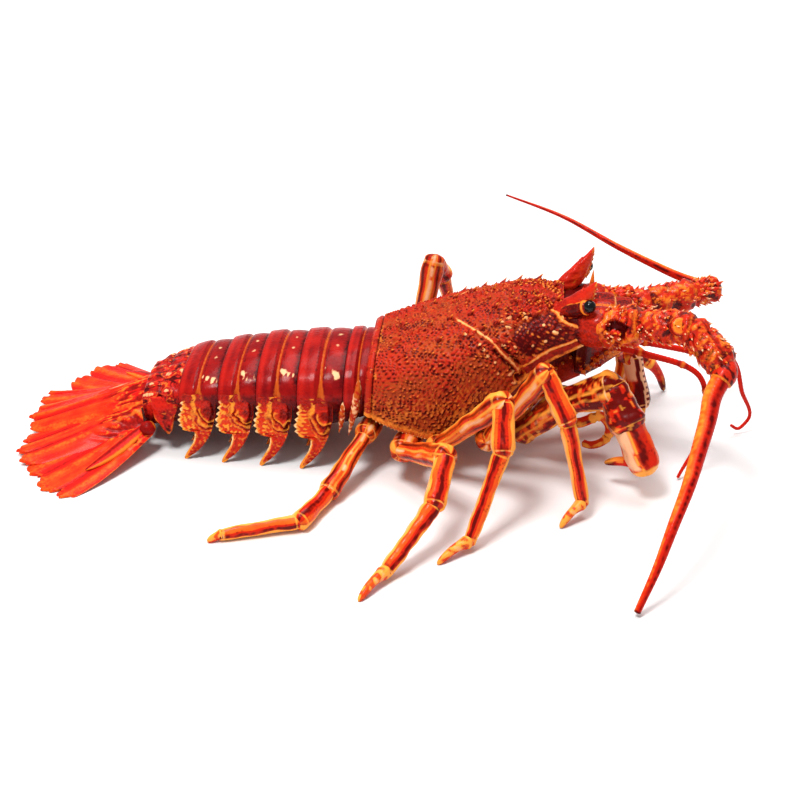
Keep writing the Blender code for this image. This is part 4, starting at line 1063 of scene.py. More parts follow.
def pleuron(middle, side, seed):
    """A side plate: a toothed lobe behind, curled ridges in front and a hooked spike."""
    half, root = smooth([(-row[0], *row[1:]) for row in TAIL_ARCHES], -middle)[[1, 2]]
    height = np.concatenate([np.linspace(1.06, 0.49, 58), [0.481, 0.476, 0.471, 0.466],
                             np.linspace(0.448, 0.0, 38)])
    front = np.interp(height, *zip(*FLAP_FRONT))
    back = np.interp(height, *zip(*FLAP_REAR))
    tooth = (height * 11.0 + seed * 0.37) % 1
    lobe = step(0.48, 0.53, height) * (1 - step(0.92, 1.0, height))
    back = back - lobe * 1.5 * (np.abs(tooth - 0.5) * 2 - 0.5)
    wide = np.sin(np.linspace(-1, 1, 54) * math.pi / 2)
    forward = front[:, None] + (back - front)[:, None] * (wide + 1) / 2
    level = height[:, None] + 0 * forward
    up = root * level
    flat = np.stack([forward, up, 0 * up], axis=-1)
    wave = (grain(flat, 4.0, seed) - 0.5) * 2.0
    rough = grain(flat, 1.5, seed + 3)
    bulge = 1.3 * np.sin(math.pi * np.minimum(level, 1)) + 4.6 * np.maximum(0, 0.5 - level)
    from_back = (1 - (wide + 1) / 2)[None, :] * (front - back)[:, None]
    from_front = ((wide + 1) / 2)[None, :] * (front - back)[:, None]
    marks = np.zeros(forward.shape + (4,))
    curl = np.hypot(forward - 5.2, (up - root * 0.80) * 0.8) + wave * 1.1
    open_part = step(-1.5, 2.0, (root * 0.80 - up) + 0.7 * (5.2 - forward) - 1.0)
    lower = open_part * step(0.45, 0.50, level)
    swirl = (0.9 * hump(curl, 4.0, 0.6) + 0.8 * hump(curl, 6.3, 0.55)
             + 0.6 * hump(curl, 8.2, 0.5)) * lower
    lobe_part = step(8.2, 9.6, curl) * step(0.47, 0.50, level)
    neck = step(0.55, 0.46, level)
    relief = 0.9 * swirl - 0.6 * hump(curl, 5.1, 0.5) * lower + 0.6 * lobe_part
    relief += 0.7 * (rough - 0.5) - 0.9 * step(3.4, 0.6, curl)
    relief += 0.8 * hump(from_back, 1.6, 1.0) * neck - 0.4 * hump(from_front, 1.2, 0.8) * neck
    relief -= 1.6 * step(3.0, 1.0, from_front) * step(0.45, 0.6, level)
    put(marks, HOT, 0.45 + 0.5 * grain(flat, 3.0, seed + 1) - 0.5 * lobe_part)
    put(marks, HOT, step(0.76, 0.90, level))
    put(marks, DARK_AND_SHADE, 0.45 * step(0.80, 0.98, level))
    put(marks, RIDGE, swirl * (0.95 + 0.15 * wave))
    put(marks, RIDGE, lobe_part * step(0.50, 0.80, rough) * step(1.0, 0.85, level))
    # Painted shade in the valleys between the curled ridges and in the hollow at their middle.
    put(marks, DARK_AND_SHADE, (0.7 * hump(curl, 5.1, 0.5) + 0.6 * hump(curl, 7.2, 0.45)) * lower)
    put(marks, DARK_AND_SHADE, 0.65 * step(3.6, 1.6, curl) * (level > 0.5))
    # Painted shade along the front edge, in the gap under the plate before, and along the step
    # between the rear lobe and the spike.
    put(marks, DARK_AND_SHADE, 1.2 * step(3.6, 1.4, from_front + wave * 0.4) * step(0.46, 0.58, level))
    put(marks, DARK_AND_SHADE, 0.7 * hump(level, 0.50, 0.014) * (forward < -2.6))
    put(marks, RIDGE, 0.9 * step(1.5, 0.3, np.abs(forward - wave - 3.0 * (level - 0.9) + 1.6))
        * step(0.66, 0.85, level))
    put(marks, RIDGE, step(1.6, 0.4, from_back) * (level < 0.46) + step(0.10, 0.03, level))
    put(marks, HOT, 0.55 * neck * step(0.62, 0.4, rough))
    put(marks, RIDGE, 0.45 * neck * step(0.6, 0.8, rough))
    put(marks, RIDGE, step(2.2, 0.8, from_back) * lobe[:, None])
    put(marks, CREAM, step(1.6, 0.4, from_back) * (lobe * step(0.2, 0.6, np.abs(
        tooth - 0.5) * 2))[:, None])
    put(marks, CREAM, 0.8 * step(1.0, 0.2, from_back) * step(0.46, 0.42, level)
        * step(0.15, 0.3, level))
    # Painted shade along the front edge of the spike.
    put(marks, DARK_AND_SHADE, 0.5 * hump(from_front, 0.3, 0.8) * (level < 0.45))
    outer = half - 0.6 + bulge + relief
    thick = PLEURON_THICKNESS * (1 - np.abs(wide) ** 5)[None, :] * np.minimum(
        1, 0.25 + level * 3)
    points = np.stack([middle + forward, side * outer, np.maximum(up, 0.05)], axis=-1)
    within = np.stack([middle + forward, side * (outer - relief * 0.6
                                                 - np.maximum(thick, 0.1)),
                       np.maximum(up, 0.05)], axis=-1)
    # Painted shade: the inner face of the plate is darkened all over.
    shaded_inner_marks = marks * 0
    shaded_inner_marks[..., DARK_AND_SHADE] = 0.7
    return loft(np.concatenate([points, within[:, ::-1]], axis=1),
                np.concatenate([marks, shaded_inner_marks], axis=1))


def make_swimmerets(finishes):
    """Thin curved leaves under the belly."""
    for number, middle in enumerate(PLEURON_MIDDLES, 2):
        middle -= 1.0
        belly = smooth([(-row[0], *row[1:]) for row in TAIL_ARCHES], -middle)[3]
        for name, side in (("right", -1), ("left", 1)):
            down = np.linspace(0, 1, 22)[:, None]
            wide = np.sin(np.linspace(-1, 1, 17) * math.pi / 2)[None, :]
            half = 5.5 * np.sin(math.pi * (0.18 + 0.72 * down)) ** 0.8
            ribbed = 0.18 * np.sin(wide * 9.0) * step(0, 0.5, down)
            z = belly - 0.95 - (belly - 4.0) * down + 0.8 * wide ** 2
            x = middle - 6.0 * down ** 1.5 + ribbed
            y = side * 16.0 + wide * half
            thick = 1.2 * (1 - np.abs(wide) ** 4) + 0.05
            front = np.stack([x + thick, y, z], axis=-1)
            back = np.stack([x + 0 * y, y, z], axis=-1)
            marks = no_marks(front)
            put(marks, RIDGE, hump(np.abs(wide), 1, 0.12) + 0.5 * step(0.8, 1, down) + 0 * y)
            skin = np.concatenate([front, back[:, ::-1]], axis=1)
            piece(f"belly_leaf_{number}_{name}", loft(skin, np.concatenate(
                [marks, marks[:, ::-1]], axis=1)), finishes["stalk"], "stalk_red",
                f"swimmeret_{number}_{name}")


def make_fan(finishes):
    """The five blades of the tail fan, pleated along and stepped at the end."""
    for number, (name, (root, end, root_half, end_half, fall)) in enumerate(
            FAN_BLADES.items()):
        root, end = np.array(root), np.array(end)
        ahead = (end - root) * [1, 1, 0]
        side = unit(np.array([-ahead[1], ahead[0], 0]))
        along = np.concatenate([[0.0], np.linspace(0.0, 0.985, 84), [0.994, 1.0]])[:, None]
        wide = np.sin(np.linspace(-1, 1, 85) * math.pi / 2)[None, :]
        saw = (wide * 4.3 + 0.23 * number + 0.25 * np.sin(wide * 5 + number)) % 1
        lobed = np.abs(np.cos(math.pi * (wide * 1.35 + 0.31 * number
                                         + 0.10 * np.sin(wide * 4 + number))))
        notch = 0.10 * (1 - lobed ** 0.6) + 0.045 * saw ** 1.5
        reach = along * (1 - np.clip(notch, 0, 1) * along ** 4 - 0.13 * np.abs(wide) ** 3)
        broad_root = root_half * FAN_ROOT_SPREAD
        half = broad_root + (end_half - broad_root) * np.sin(math.pi / 2 * along) ** 1.1
        drop = (1 - along) ** fall
        ridge = 0.8 * (1 - wide ** 2) * (1 - along)
        fold = 1.5 * lobed ** 0.8 - 0.9 + 0.45 * np.sin(
            wide * 15.0 + 1.5 * np.sin(wide * 3 + number) + number)
        pleat = 0.36 * fold * step(0.1, 0.5, along) * (1 - 0.5 * np.abs(wide))
        inward = -1 if (side @ [0, 1, 0]) * root[1] > 0 else 1
        spread = 1 + FAN_OVERLAP.get(name[:12], 0.0) * step(0, 1, inward * wide)
        place = root + ahead * reach[..., None] + side * (wide * half * spread)[..., None]
        outer_part = np.abs(wide) if name == "telson" else step(0, 1, -inward * wide)
        sag, less = FAN_SAG.get(name[:12], (0.0, 0.0))
        low = end[2] + (root[2] - end[2]) * drop + ridge + 0.1
        low = np.maximum(low - (sag - less * along) * outer_part ** 1.6, end[2] * 0.4 + 0.1)
        thick = (BLADE_THICKNESS - 0.25) * (1 - np.abs(wide) ** 6) * step(1.001, 0.985, along)
        full = thick / (BLADE_THICKNESS - 0.25)
        rugged = grain(place * [0.5, 1, 1], 2.4, number + 4)
        rough_root = 1.3 * (rugged - 0.35) * step(0.55, 0.25, along)
        top = place.copy()
        top[..., 2] = low + np.maximum(thick + (pleat + rough_root) * full, 0.05) * (along < 1)
        under = place.copy()
        under[..., 2] = low
        marks = no_marks(top)
        uneven = grain(top * [0.3, 1, 1], 5.0, number)
        near = step(0.46, 0.26, along + 0.20 * (uneven - 0.5) + 0.06 * fold)
        put(marks, HOT, 0.10 + 1.0 * hump(along, 0.70, 0.38) * step(0.35, -0.35, fold)
            + 0.30 * uneven)
        put(marks, HOT, 0.8 * near)
        put(marks, DARK_AND_SHADE, near * 0.75 * step(0.58, 0.34, rugged))
        # Painted shade in the creases between the end lobes and in the fold valleys near the root.
        put(marks, DARK_AND_SHADE, 0.55 * step(0.35, 0.05, lobed) * step(0.3, 0.6, along))
        put(marks, DARK_AND_SHADE, 0.65 * near * step(-0.2, -0.9, fold))
        put(marks, RIDGE, near * 0.85 * hump(rugged, 0.64, 0.07))
        put(marks, RIDGE, 0.7 * near * step(0.6, 1.0, fold) * (0.4 + 0.6 * uneven))
        put(marks, RIDGE, 0.30 * step(0.86, 1.0, along) * (0.4 + 0.6 * uneven))
        put(marks, RIDGE, 0.34 * step(0.4, 0.9, fold) * step(0.3, 0.5, along))
        put(marks, RIDGE, 0.5 * step(0.96, 1.0, np.abs(wide)) + 0 * along)
        # Painted highlight: a pale spot on the telson near its root.
        if name == "telson":
            put(marks, CREAM, 0.8 * hump(np.hypot((wide + 0.30) / 0.12, (along - 0.27) / 0.07),
                                         0, 1))
        blade = loft(np.concatenate([top, under[:, ::-1]], axis=1),
                     np.concatenate([marks, marks[:, ::-1]], axis=1))
        parts = [blade]
        if name != "telson":
            parts += fan_stem(root, end, side, root_half, name.startswith("uropod_outer"))
        piece(f"fan_{name}", join(parts), finishes["fan"], "fan_orange", name)


def leg_joints(pose):
    """The points where a leg's pieces meet, from the hip to the tip of the claw."""
    joints = [np.array(pose[0], float)]
    for length, turn, rise in pose[1:]:
        if rise is None:
            rise = math.degrees(math.asin((LEG_RADII[-1][1] - joints[-1][2]) / length))
        turn, rise = math.radians(turn), math.radians(rise)
        level = length * math.cos(rise)
        joints.append(joints[-1] + [level * math.cos(turn), level * math.sin(turn),
                                    length * math.sin(rise)])
    return joints


def limb_piece(start, end, first, last, seed, index=1, dark=0.0, shift=0.0, count=40):
    """One stiff piece of a leg: a neck, a banded body, a rounded knuckle. Upper pieces have
    a pale band between dark ones, outer ones a dark line between yellow edges."""
    ahead = unit(end - start)
    begin, finish = start - ahead * first * 0.35, end + ahead * last * 0.25
    share = np.linspace(0, 1, 60)
    swell = smooth(LIMB_PROFILES[min(index, FIST)], share)[:, 0]
    centre = begin + share[:, None] * (finish - begin)
    round_in, round_out = np.array([0.15, 0.55, 0.85]), np.array([0.93, 0.75, 0.45, 0.1])
    radius = np.concatenate([round_in * swell[0] * first,
                             swell * (first + (last - first) * share),
                             round_out * swell[-1] * last])
    centre = np.concatenate([begin - ahead * first * np.array([0.22, 0.16, 0.08])[:, None],
                             centre,
                             finish + ahead * last * np.array([0.10, 0.24, 0.34, 0.38])[:, None]])
    share = np.concatenate([[0, 0, 0], share, [1, 1, 1, 1]])
    turn = turns(count)[None, :]
    v = share[:, None] + 0 * turn
    body = step(0.08, 0.16, v) * step(0.975, 0.90, v)
    phase = seed * 1.7
    plain = bar(centre, radius, count)
    lumps, wander = grain(plain, 6.0, seed) - 0.5, grain(plain, 9.0, seed + 1) - 0.5
    radii = radius[:, None] * (1 + (0.05 * np.cos(2 * turn + phase) + 0.03 * np.cos(
        4 * turn)) * body + 0.14 * lumps)
    rings = bar(centre, radii, count)
    marks = no_marks(rings)
    body = step(0.03, 0.08, v)
    place, front = facing(rings)
    place, shown = place + 0.22 * wander, step(-0.4, -0.05, front)
    spotty = grain(rings, 2.2, seed + 5)
    if index <= 1:
        put(marks, DARK_AND_SHADE, body * (0.80 * hump(place, 0.74, 0.18) + 0.85 * hump(place, -0.66, 0.16)))
        put(marks, HOT, 0.75 * hump(place, 0.46, 0.22) + 0.7 * hump(place, -0.42, 0.2))
        put(marks, RIDGE, body * (0.8 * hump(place, 0.24, 0.14) + 0.7 * hump(place, -0.24, 0.12)
                                  + 0.8 * step(0.92, 0.99, np.abs(place))))
        put(marks, CREAM, body * 0.85 * hump(place, 0.0, 0.2) * (1 - dark)
            * step(0.35, 0.6, grain(rings * 0.6, 5.0, seed + 9)))
    elif index < 4:
        middle = shift + 0.05 + 0.22 * math.sin(phase) * (shift == 0)
        across_stripe = np.abs(place - middle)
        put(marks, HOT, 0.95 * step(0.62, 0.42, across_stripe))
        put(marks, DARK_AND_SHADE, body * (0.4 + 0.8 * spotty) * step(0.30, 0.14, across_stripe))
        put(marks, RIDGE, body * step(0.70, 0.84, np.abs(place)) * (0.25 + 0.75 * shown)
            * (1 - 0.8 * dark))
        put(marks, DARK_AND_SHADE, 0.55 * hump(place, 0.70, 0.05) * body)
        put(marks, CREAM, 0.45 * body * step(0.86, 0.97, place))
    # A pale strip with dark dashes along one side.
    elif index == DASHED_STRIP:
        dashes = step(-0.2, 0.4, np.sin(v * 60)) * shown
        put(marks, CREAM, 0.8 * step(0.05, 0.2, place) * step(0.55, 0.42, v))
        put(marks, HOT, step(0.9, 0.6, place))
        put(marks, DARK_AND_SHADE, step(0.30, 0.15, np.abs(place + 0.12)) + step(-0.7, -0.5, -place)
            * step(0.42, 0.6, v) + 0.9 * step(-0.5, -0.6, place) * dashes)
        put(marks, CREAM, shown * step(-0.28, -0.36, place) * step(-0.92, -0.84, place)
            * (1 - 0.9 * dashes * step(-0.5, -0.6, place)))
    else:
        put(marks, CREAM, 0.85 * step(0.36, 0.48, place) * step(0.92, 0.82, v) * shown)
        put(marks, RIDGE, step(0.07, 0.03, np.abs(place - 0.34)) + 0.9 * step(0.86, 0.95, v))
        put(marks, HOT, 0.9 * step(0.28, 0.14, place) * step(-0.75, -0.5, place))
        put(marks, DARK_AND_SHADE, (0.45 + 0.6 * spotty) * step(0.28, 0.14, place)
            * step(-0.32, -0.12, place) * step(0.95, 0.80, v))
    if dark:
        clouds = 0.6 * grain(rings, 3.6, seed + 7) + 0.4 * spotty
        put(marks, HOT, dark * (0.5 + 0.5 * spotty))
        put(marks, DARK_AND_SHADE, 1.2 * dark * step(0.62, 0.44, clouds))
        put(marks, RIDGE, 0.9 * hump(place, -0.90, 0.05) * shown
            + 0.5 * step(0.66, 0.8, clouds))
    put(marks, DARK_AND_SHADE, 0.8 * step(0.05, 0.02, v) + 0.6 * hump(v, 0.925, 0.012)
        + 0.35 * step(0.985, 1.0, v))
    put(marks, RIDGE, 0.85 * hump(v, 0.958, 0.012) + 0.7 * hump(v, 0.085, 0.014))
    put(marks, CREAM, 0.7 * hump(v, 0.962, 0.007) * step(-0.2, 0.5, np.sin(turn + phase)))
    lower = count // 4
    return loft(np.roll(rings, lower, axis=1), np.roll(marks, lower, axis=1))


def claw(start, end, first, last, seed, red=0.0):
    """The last piece of a leg: a stout curved spike, redder and dark-tipped in front."""
    ahead = unit(end - start)
    up = across(ahead)[1]
    share = np.concatenate([[0.0], np.linspace(0, 1, 30)])
    begin = start - ahead * first * 0.35
    bow = np.linalg.norm(end - start) * CLAW_BEND * np.sin(math.pi * share)
    centre = begin + share[:, None] * (end - begin) + bow[:, None] * up
    radius = last + (first - last) * np.sqrt(np.maximum(1 - share ** 1.7, 0))
    radius[0] *= 0.2
    radius *= smooth(((0, 0.8), (0.08, 1.0), (0.14, 1.1), (0.2, 1.0), (1, 1)), share)[:, 0]
    turn = turns(24)[None, :]
    rings = bar(centre, radius[:, None] * (1 + 0.06 * np.cos(3 * turn)), 24)
    marks = no_marks(rings)
    v = share[:, None] + 0 * turn
    top = np.sin(turn) + 0 * v
    uneven = grain(rings, 3.0, seed)
    put(marks, HOT, 0.9 * step(0.1, 0.7, -top) + 0.4 * step(0.6, 0.4, uneven) + red)
    put(marks, RIDGE, hump(v, 0.13, 0.05)
        + (0.85 - 0.6 * red) * step(-0.5, 0.2, top) * step(0.3, 0.5, uneven))
    put(marks, DARK_AND_SHADE, 0.45 * step(0.93, 0.99, v) + 0.5 * hump(top, -0.45, 0.15) * uneven
        + 0.7 * step(0.05, 0.02, v) + 1.4 * red * step(0.55, 0.85, v))
    put(marks, CREAM, (0.4 - 0.4 * red) * step(0.1, 0.3, v) * step(0.8, 0.5, v)
        * step(0.60, 0.72, uneven))
    return loft(rings, marks)


def make_legs(finishes):
    for number, (name, pose) in enumerate(LEGS.items()):
        stout = LEG_STOUTNESS.get(name, 1.0)
        joints = leg_joints(pose)
        radii = FRONT_LEG_RADII if name.startswith("leg_1") else LEG_RADII
        parts = []
        for i, (first, last) in enumerate(radii):
            if i < 4:
                kind = {("leg_1_right", 3): FIST, ("leg_1_left", 3): DASHED_STRIP}.get((name, i), i)
                dark = DARK_LEG.get((name, i), 0.0)
                parts.append(limb_piece(joints[i], joints[i + 1], first * stout, last * stout,
                                        number * 5 + i, kind, dark,
                                        STRIPE_SHIFTS.get(name, 0.0) * (i == 3)))
            else:
                parts.append(claw(joints[4], joints[5], first * stout, last, number,
                                  RED_CLAWS.get(name, 0.0)))
        piece(f"walking_{name}", join(parts), finishes["leg"], "leg_orange", name)


def make_antennae(finishes):
    """Thorny stalks, ringed whips and the thin feelers between them."""
    for name, side in (("right", -1), ("left", 1)):
        points, radii = ANTENNA_STALKS[name]
        joints = np.array(points, float)
        parts = [stalk_piece(a, b, radius, i, 60 + i + side)
                 for i, (a, b, radius) in enumerate(zip(joints[:-1], joints[1:], radii))]
        if name == "right":
            parts.append(button())
        start = np.array(WHIP_ROUTES[name][:2])
        cuff = through((joints[-1] * 1.0, start[0], start[0] * 0.5 + start[1] * 0.5), 20)
        wide = WHIP_RADII[name][0] * np.interp(np.linspace(0, 1, 20), (0, 0.1, 0.6, 0.9, 1),
                                               (0.5, 1.12, 1.2, 1.1, 0.8))
        rings = bar(cuff, wide, 28)
        marks = no_marks(rings)
        put(marks, HOT, 1 + 0 * rings[..., 0])
        put(marks, DARK_AND_SHADE, 0.9 * step(0.45, 0.65, grain(rings, 3.0, 3)))
        put(marks, RIDGE, 0.9 * hump(np.arange(20), 17.5, 1.0)[:, None] + 0 * rings[..., 0])
        parts.append(loft(rings, marks))
        rng = random.Random(SEED + len(name))
        small = random.Random(SEED + 7)
        for (a, b), radius, count in zip(zip(joints[1:-1], joints[2:]), radii[1:],
                                         THORN_COUNTS):
            across_side, up = across(b - a)
            ahead = unit(b - a)
            for i in range(count):
                turn = math.tau * (i * 0.618 + rng.uniform(-0.03, 0.03))
                out = across_side * math.cos(turn) + up * math.sin(turn)
                foot = a + (b - a) * (0.25 + 0.6 * i / count) + out * radius * 0.92
                parts.append(thorn(foot, out + ahead * 0.9, THORN_LENGTH * 0.8,
                                   THORN_LENGTH * 0.27, lean=ahead * 0.3, root=HOT))
            for i in range(SMALL_THORNS):
                turn = math.tau * small.random()
                out = across_side * math.cos(turn) + up * math.sin(turn)
                foot = a + (b - a) * small.uniform(0.08, 0.98) + out * radius * 0.95
                length = small.uniform(1.4, 3.6)
                parts.append(thorn(foot, out + ahead * 0.8, length, 0.32 * length + 0.15,
                                   tip=small.choice((CREAM, CREAM, RIDGE)),
                                   root=small.choice((HOT, HOT, RIDGE, DARK_AND_SHADE)), count=6))
        piece(f"stalk_{name}", join(parts), finishes["stalk"], "stalk_red",
              f"antenna_stalk_{name}")
        make_whip(finishes, name)
        make_feeler(finishes, name)


def button():
    """The round joint knob on the near stalk, ringed in yellow."""
    out = unit(np.array([0.1, -0.8, 0.6]))
    reach = np.array([4.5, 6.6, 7.4, 7.9, 8.0, 7.7, 7.6])
    radius = np.array([4.6, 4.4, 3.9, 3.1, 2.3, 1.6, 0.1])
    rings = bar(np.array(BUTTON_PLACE) + out * reach[:, None], radius, 24)
    marks = no_marks(rings)
    share = reach[:, None] * 0 + np.arange(7)[:, None] + 0 * rings[..., 0]
    put(marks, HOT, 1 + 0 * share)
    put(marks, RIDGE, hump(share, 3.3, 1.1))
    put(marks, DARK_AND_SHADE, 0.7 * hump(share, 0.8, 0.8))
    return loft(rings, marks)


def make_eyes(finishes):
    """Black balls on short stems in the notches under the horns."""
    for name, side in (("right", -1), ("left", 1)):
        place = np.array([EYE_PLACE[0], side * EYE_PLACE[1], EYE_PLACE[2]])
        ball = bmesh.new()
        bmesh.ops.create_uvsphere(ball, u_segments=36, v_segments=24, radius=EYE_RADIUS)
        bmesh.ops.translate(ball, verts=ball.verts, vec=place)
        piece(f"eye_ball_{name}", ball, finishes["eye"], "eye_black", f"eye_{name}")
        root = np.array([86.0, side * 15.5, 82.0])
        path = through((root, (root + place) / 2 + [1.0, 0, 0.4], place), 36)
        share = np.linspace(0, 1, 36)
        radius = smooth(((0, 2.8), (0.35, 3.7), (0.7, 3.3), (0.93, 3.25), (1.0, 2.2)), share)[:, 0]
        rings = bar(path, radius, 28)
        turn = turns(28)[None, :] + 0 * rings[..., 0]
        marks = no_marks(rings)
        put(marks, HOT, 1 + 0 * turn)
        put(marks, DARK_AND_SHADE, 0.60 + 0.3 * hump(share, 0.5, 0.3)[:, None] + 0 * turn)
        put(marks, RIDGE, step(0.06, 0.03, np.abs(share - 0.86))[:, None] + 0 * turn)
        put(marks, RIDGE, hump(np.sin(turn), 1, 0.10))
        piece(f"eye_stem_{name}", loft(rings, marks), finishes["stalk"], "stalk_red")


def make_mouthparts(finishes):
    for name in ("right", "left"):
        count = 90
        path = through(MOUTHPART_ROUTES[name], count)
        share = np.linspace(0, 1, count)
        radius = MOUTHPART_RADII[0] + (MOUTHPART_RADII[1] - MOUTHPART_RADII[0]) * share
        knots = np.minimum.reduce([np.abs(share - at) for at in (0.30, 0.58, 0.80)])
        radius *= 1 + 0.16 * hump(knots, 0.018, 0.012) - 0.18 * hump(knots, 0, 0.01)
        radius[0], radius[-1] = radius[0] * 0.4, radius[-1] * 0.3
        rings = bar(path, radius, 18)
        marks = no_marks(rings)
        turn = turns(18)[None, :] + 0 * rings[..., 0]
        uneven = grain(rings, 3.0, 51)
        put(marks, RIDGE, 0.9 * hump(knots, 0.018, 0.015)[:, None] + 0.8 * step(
            0.4, 0.9, np.cos(turn)) * uneven)
        put(marks, DARK_AND_SHADE, 0.9 * hump(np.sin(turn), 0.1, 0.4) * (share < 0.6)[:, None]
            + 0.9 * hump(knots, 0, 0.01)[:, None])
        put(marks, HOT, 0.6 + 0 * turn)
        piece(f"mouth_leg_{name}", loft(rings, marks), finishes["leg"], "leg_orange",
              f"mouthpart_{name}")


def make_studio():
    """A white table and soft light from above."""
    floor = bmesh.new()
    bmesh.ops.create_grid(floor, x_segments=1, y_segments=1, size=40.0)
    mesh = bpy.data.meshes.new("table_top")
    floor.to_mesh(mesh)
    floor.free()
    table = bpy.data.objects.new("table_top", mesh)
    bpy.context.scene.collection.objects.link(table)
    white = Finish("white table", Base_Color=(0.86, 0.857, 0.853, 1), Roughness=0.7,
                   Specular_IOR_Level=0.1)
    mesh.materials.append(white.material)
    world = bpy.data.worlds.new("studio")
    world.use_nodes = True
    world.node_tree.nodes["Background"].inputs["Color"].default_value = (1, 0.99, 0.985, 1)
    world.node_tree.nodes["Background"].inputs["Strength"].default_value = 0.42
    bpy.context.scene.world = world
    for name, kind, place, power in (("key", "AREA", (-0.25, -0.35, 1.1), 11.0),
                                     ("ceiling", "SUN", (0.0, 0.6, 1.6), 2.25)):
        light = bpy.data.lights.new(name, kind)
        light.energy = power
        if kind == "AREA":
            light.size = 0.30
        else:
            light.angle = math.radians(42)
        lamp = bpy.data.objects.new(name, light)
        lamp.location = place
        lamp.rotation_mode = "QUATERNION"
        lamp.rotation_quaternion = (-Vector(place)).to_track_quat("-Z", "Y")
        bpy.context.scene.collection.objects.link(lamp)
    bpy.context.scene.view_settings.view_transform = "Standard"


def make_camera():
    azimuth, elevation, distance = math.radians(5), math.radians(30), 0.7
    back = Vector((math.sin(azimuth) * math.cos(elevation),
                   -math.cos(azimuth) * math.cos(elevation), math.sin(elevation)))
    data = bpy.data.cameras.new("camera")
    data.sensor_width, data.lens = 36, 1400 / 808 * 36
    data.clip_start = 0.01
    camera = bpy.data.objects.new("camera", data)
    camera.location = Vector((0.010, 0.017, 0.022)) + back * distance
    camera.rotation_mode = "QUATERNION"
    camera.rotation_quaternion = (-back).to_track_quat("-Z", "Y")
    bpy.context.scene.collection.objects.link(camera)
    bpy.context.scene.camera = camera


def stalk_piece(start, end, radius, index, seed, count=48):
    """One lumpy piece of an antenna's stalk, the first one smooth and dark."""
    ahead = unit(end - start)
    begin, finish = start - ahead * radius * 0.35, end + ahead * radius * 0.3
    share = np.linspace(0, 1, 52)
    swell = smooth(STALK_PROFILES[index], share)[:, 0]
    plain = bar(begin + share[:, None] * (finish - begin), swell * radius, count)
    lumps, small = grain(plain, 6.5, seed) - 0.5, grain(plain, 2.6, seed + 1) - 0.5
    bumpy = (0.05 if index == 0 else 0.22) * step(0, 0.12, share) * step(1, 0.9, share)
    radii = (swell * radius)[:, None] * (1 + bumpy[:, None] * (lumps + 0.6 * small))
    rings = bar(begin + share[:, None] * (finish - begin), radii, count)
    marks = no_marks(rings)
    v = share[:, None] + 0 * lumps
    if index == 0:
        put(marks, HOT, 0.9 + 0 * v)
        put(marks, DARK_AND_SHADE, 0.40 + 0.6 * step(0.60, 0.42, v) + 0.3 * step(0.85, 1.0, v))
    else:
        # Darker in the hollows between lumps: painted shade. Lighter on the lumps: their paler
        # colour and a painted highlight.
        put(marks, HOT, 0.55 + 0.7 * small + 0.5 * lumps)
        put(marks, DARK_AND_SHADE, 0.65 * step(-0.12, -0.30, lumps) + 0.5 * step(0.08, 0.26, -small)
            + 0.25 * (index == 3) * (v + lumps))
        put(marks, RIDGE, 0.30 * step(0.14, 0.34, lumps) + 0.45 * step(0.14, 0.34, small))
        if index == 1:
            place, front = facing(rings)
            far = np.hypot((v - 0.58) / 0.30, (place + 0.15) / 0.62) + 0.5 * small
            middle = rings.mean(axis=1, keepdims=True)
            dent = 0.30 * step(1.0, 0.5, far) * step(0.0, 0.3, front)
            rings = middle + (rings - middle) * (1 - dent[..., None])
            put(marks, RIDGE, 1.2 * hump(v, 0.10, 0.06) * (0.5 + small)
                + 1.3 * hump(far, 1.22, 0.20) * step(0, 0.3, front) * (0.55 + small)
                * step(0.9, 0.3, v + 0.3 * place))
            marks[..., RIDGE] *= 1 - step(1.0, 0.8, far) * step(0, 0.3, front)
            # Painted shade inside the dent.
            put(marks, DARK_AND_SHADE, 1.2 * step(1.0, 0.7, far) * step(0, 0.3, front))
    put(marks, RIDGE, 0.8 * hump(v, 0.955, 0.016) * (0.5 + lumps))
    put(marks, DARK_AND_SHADE, 0.8 * step(0.05, 0.02, v) + 0.6 * step(0.985, 1.0, v))
    lower = count // 4
    return loft(np.roll(rings, lower, axis=1), np.roll(marks, lower, axis=1))


def make_whip(finishes, name):
    """The long whip of an antenna, finely ringed, darker along one side."""
    count = 420
    path = through(WHIP_ROUTES[name], count)
    length = np.concatenate([[0], np.cumsum(np.linalg.norm(np.diff(path, axis=0), axis=1))])
    share = np.linspace(0, 1, count)
    radius = WHIP_RADII[name][0] + (WHIP_RADII[name][1] - WHIP_RADII[name][0]) * share
    pitch = 1.9
    ringed = 1 - 0.018 * hump((length / pitch) % 1, 0.5, 0.2)
    radius = radius * ringed * 0.985
    radius *= 0.62 + 0.38 * step(0.0, 0.03, share)
    radius[0], radius[-1] = radius[0] * 0.4, radius[-1] * 0.4
    rings = bar(path, radius, 28)
    turn = turns(28)[None, :]
    marks = no_marks(rings)
    v = share[:, None] + 0 * turn
    place, front = facing(rings)
    place = place + 0.20 * (grain(rings, 9.0, 41) - 0.5)
    spotty = grain(rings, 1.8, 43)
    beads = hump((length / (2 * pitch)) % 1, 0.5, 0.22)[:, None]
    put(marks, HOT, 0.95 * step(0.50, 0.15, place) + 0.7 * step(0.45, 0.80, v))
    put(marks, DARK_AND_SHADE, (0.85 + 1.1 * (spotty - 0.5)) * hump(place, -0.20, 0.30) * (1 - 0.3 * v))
    put(marks, RIDGE, 0.85 * step(0.42, 0.72, place) * (0.3 + 0.7 * spotty) * (1 - 0.6 * v))
    put(marks, RIDGE, 0.6 * step(-0.90, -0.98, place) * beads * (0.3 + 0.7 * spotty)
        * step(-0.2, 0.1, front))
    put(marks, DARK_AND_SHADE, step(0.985, 0.996, v))
    piece(f"whip_{name}", loft(rings, marks), finishes["whip"], "whip_orange",
          f"antenna_whip_{name}")


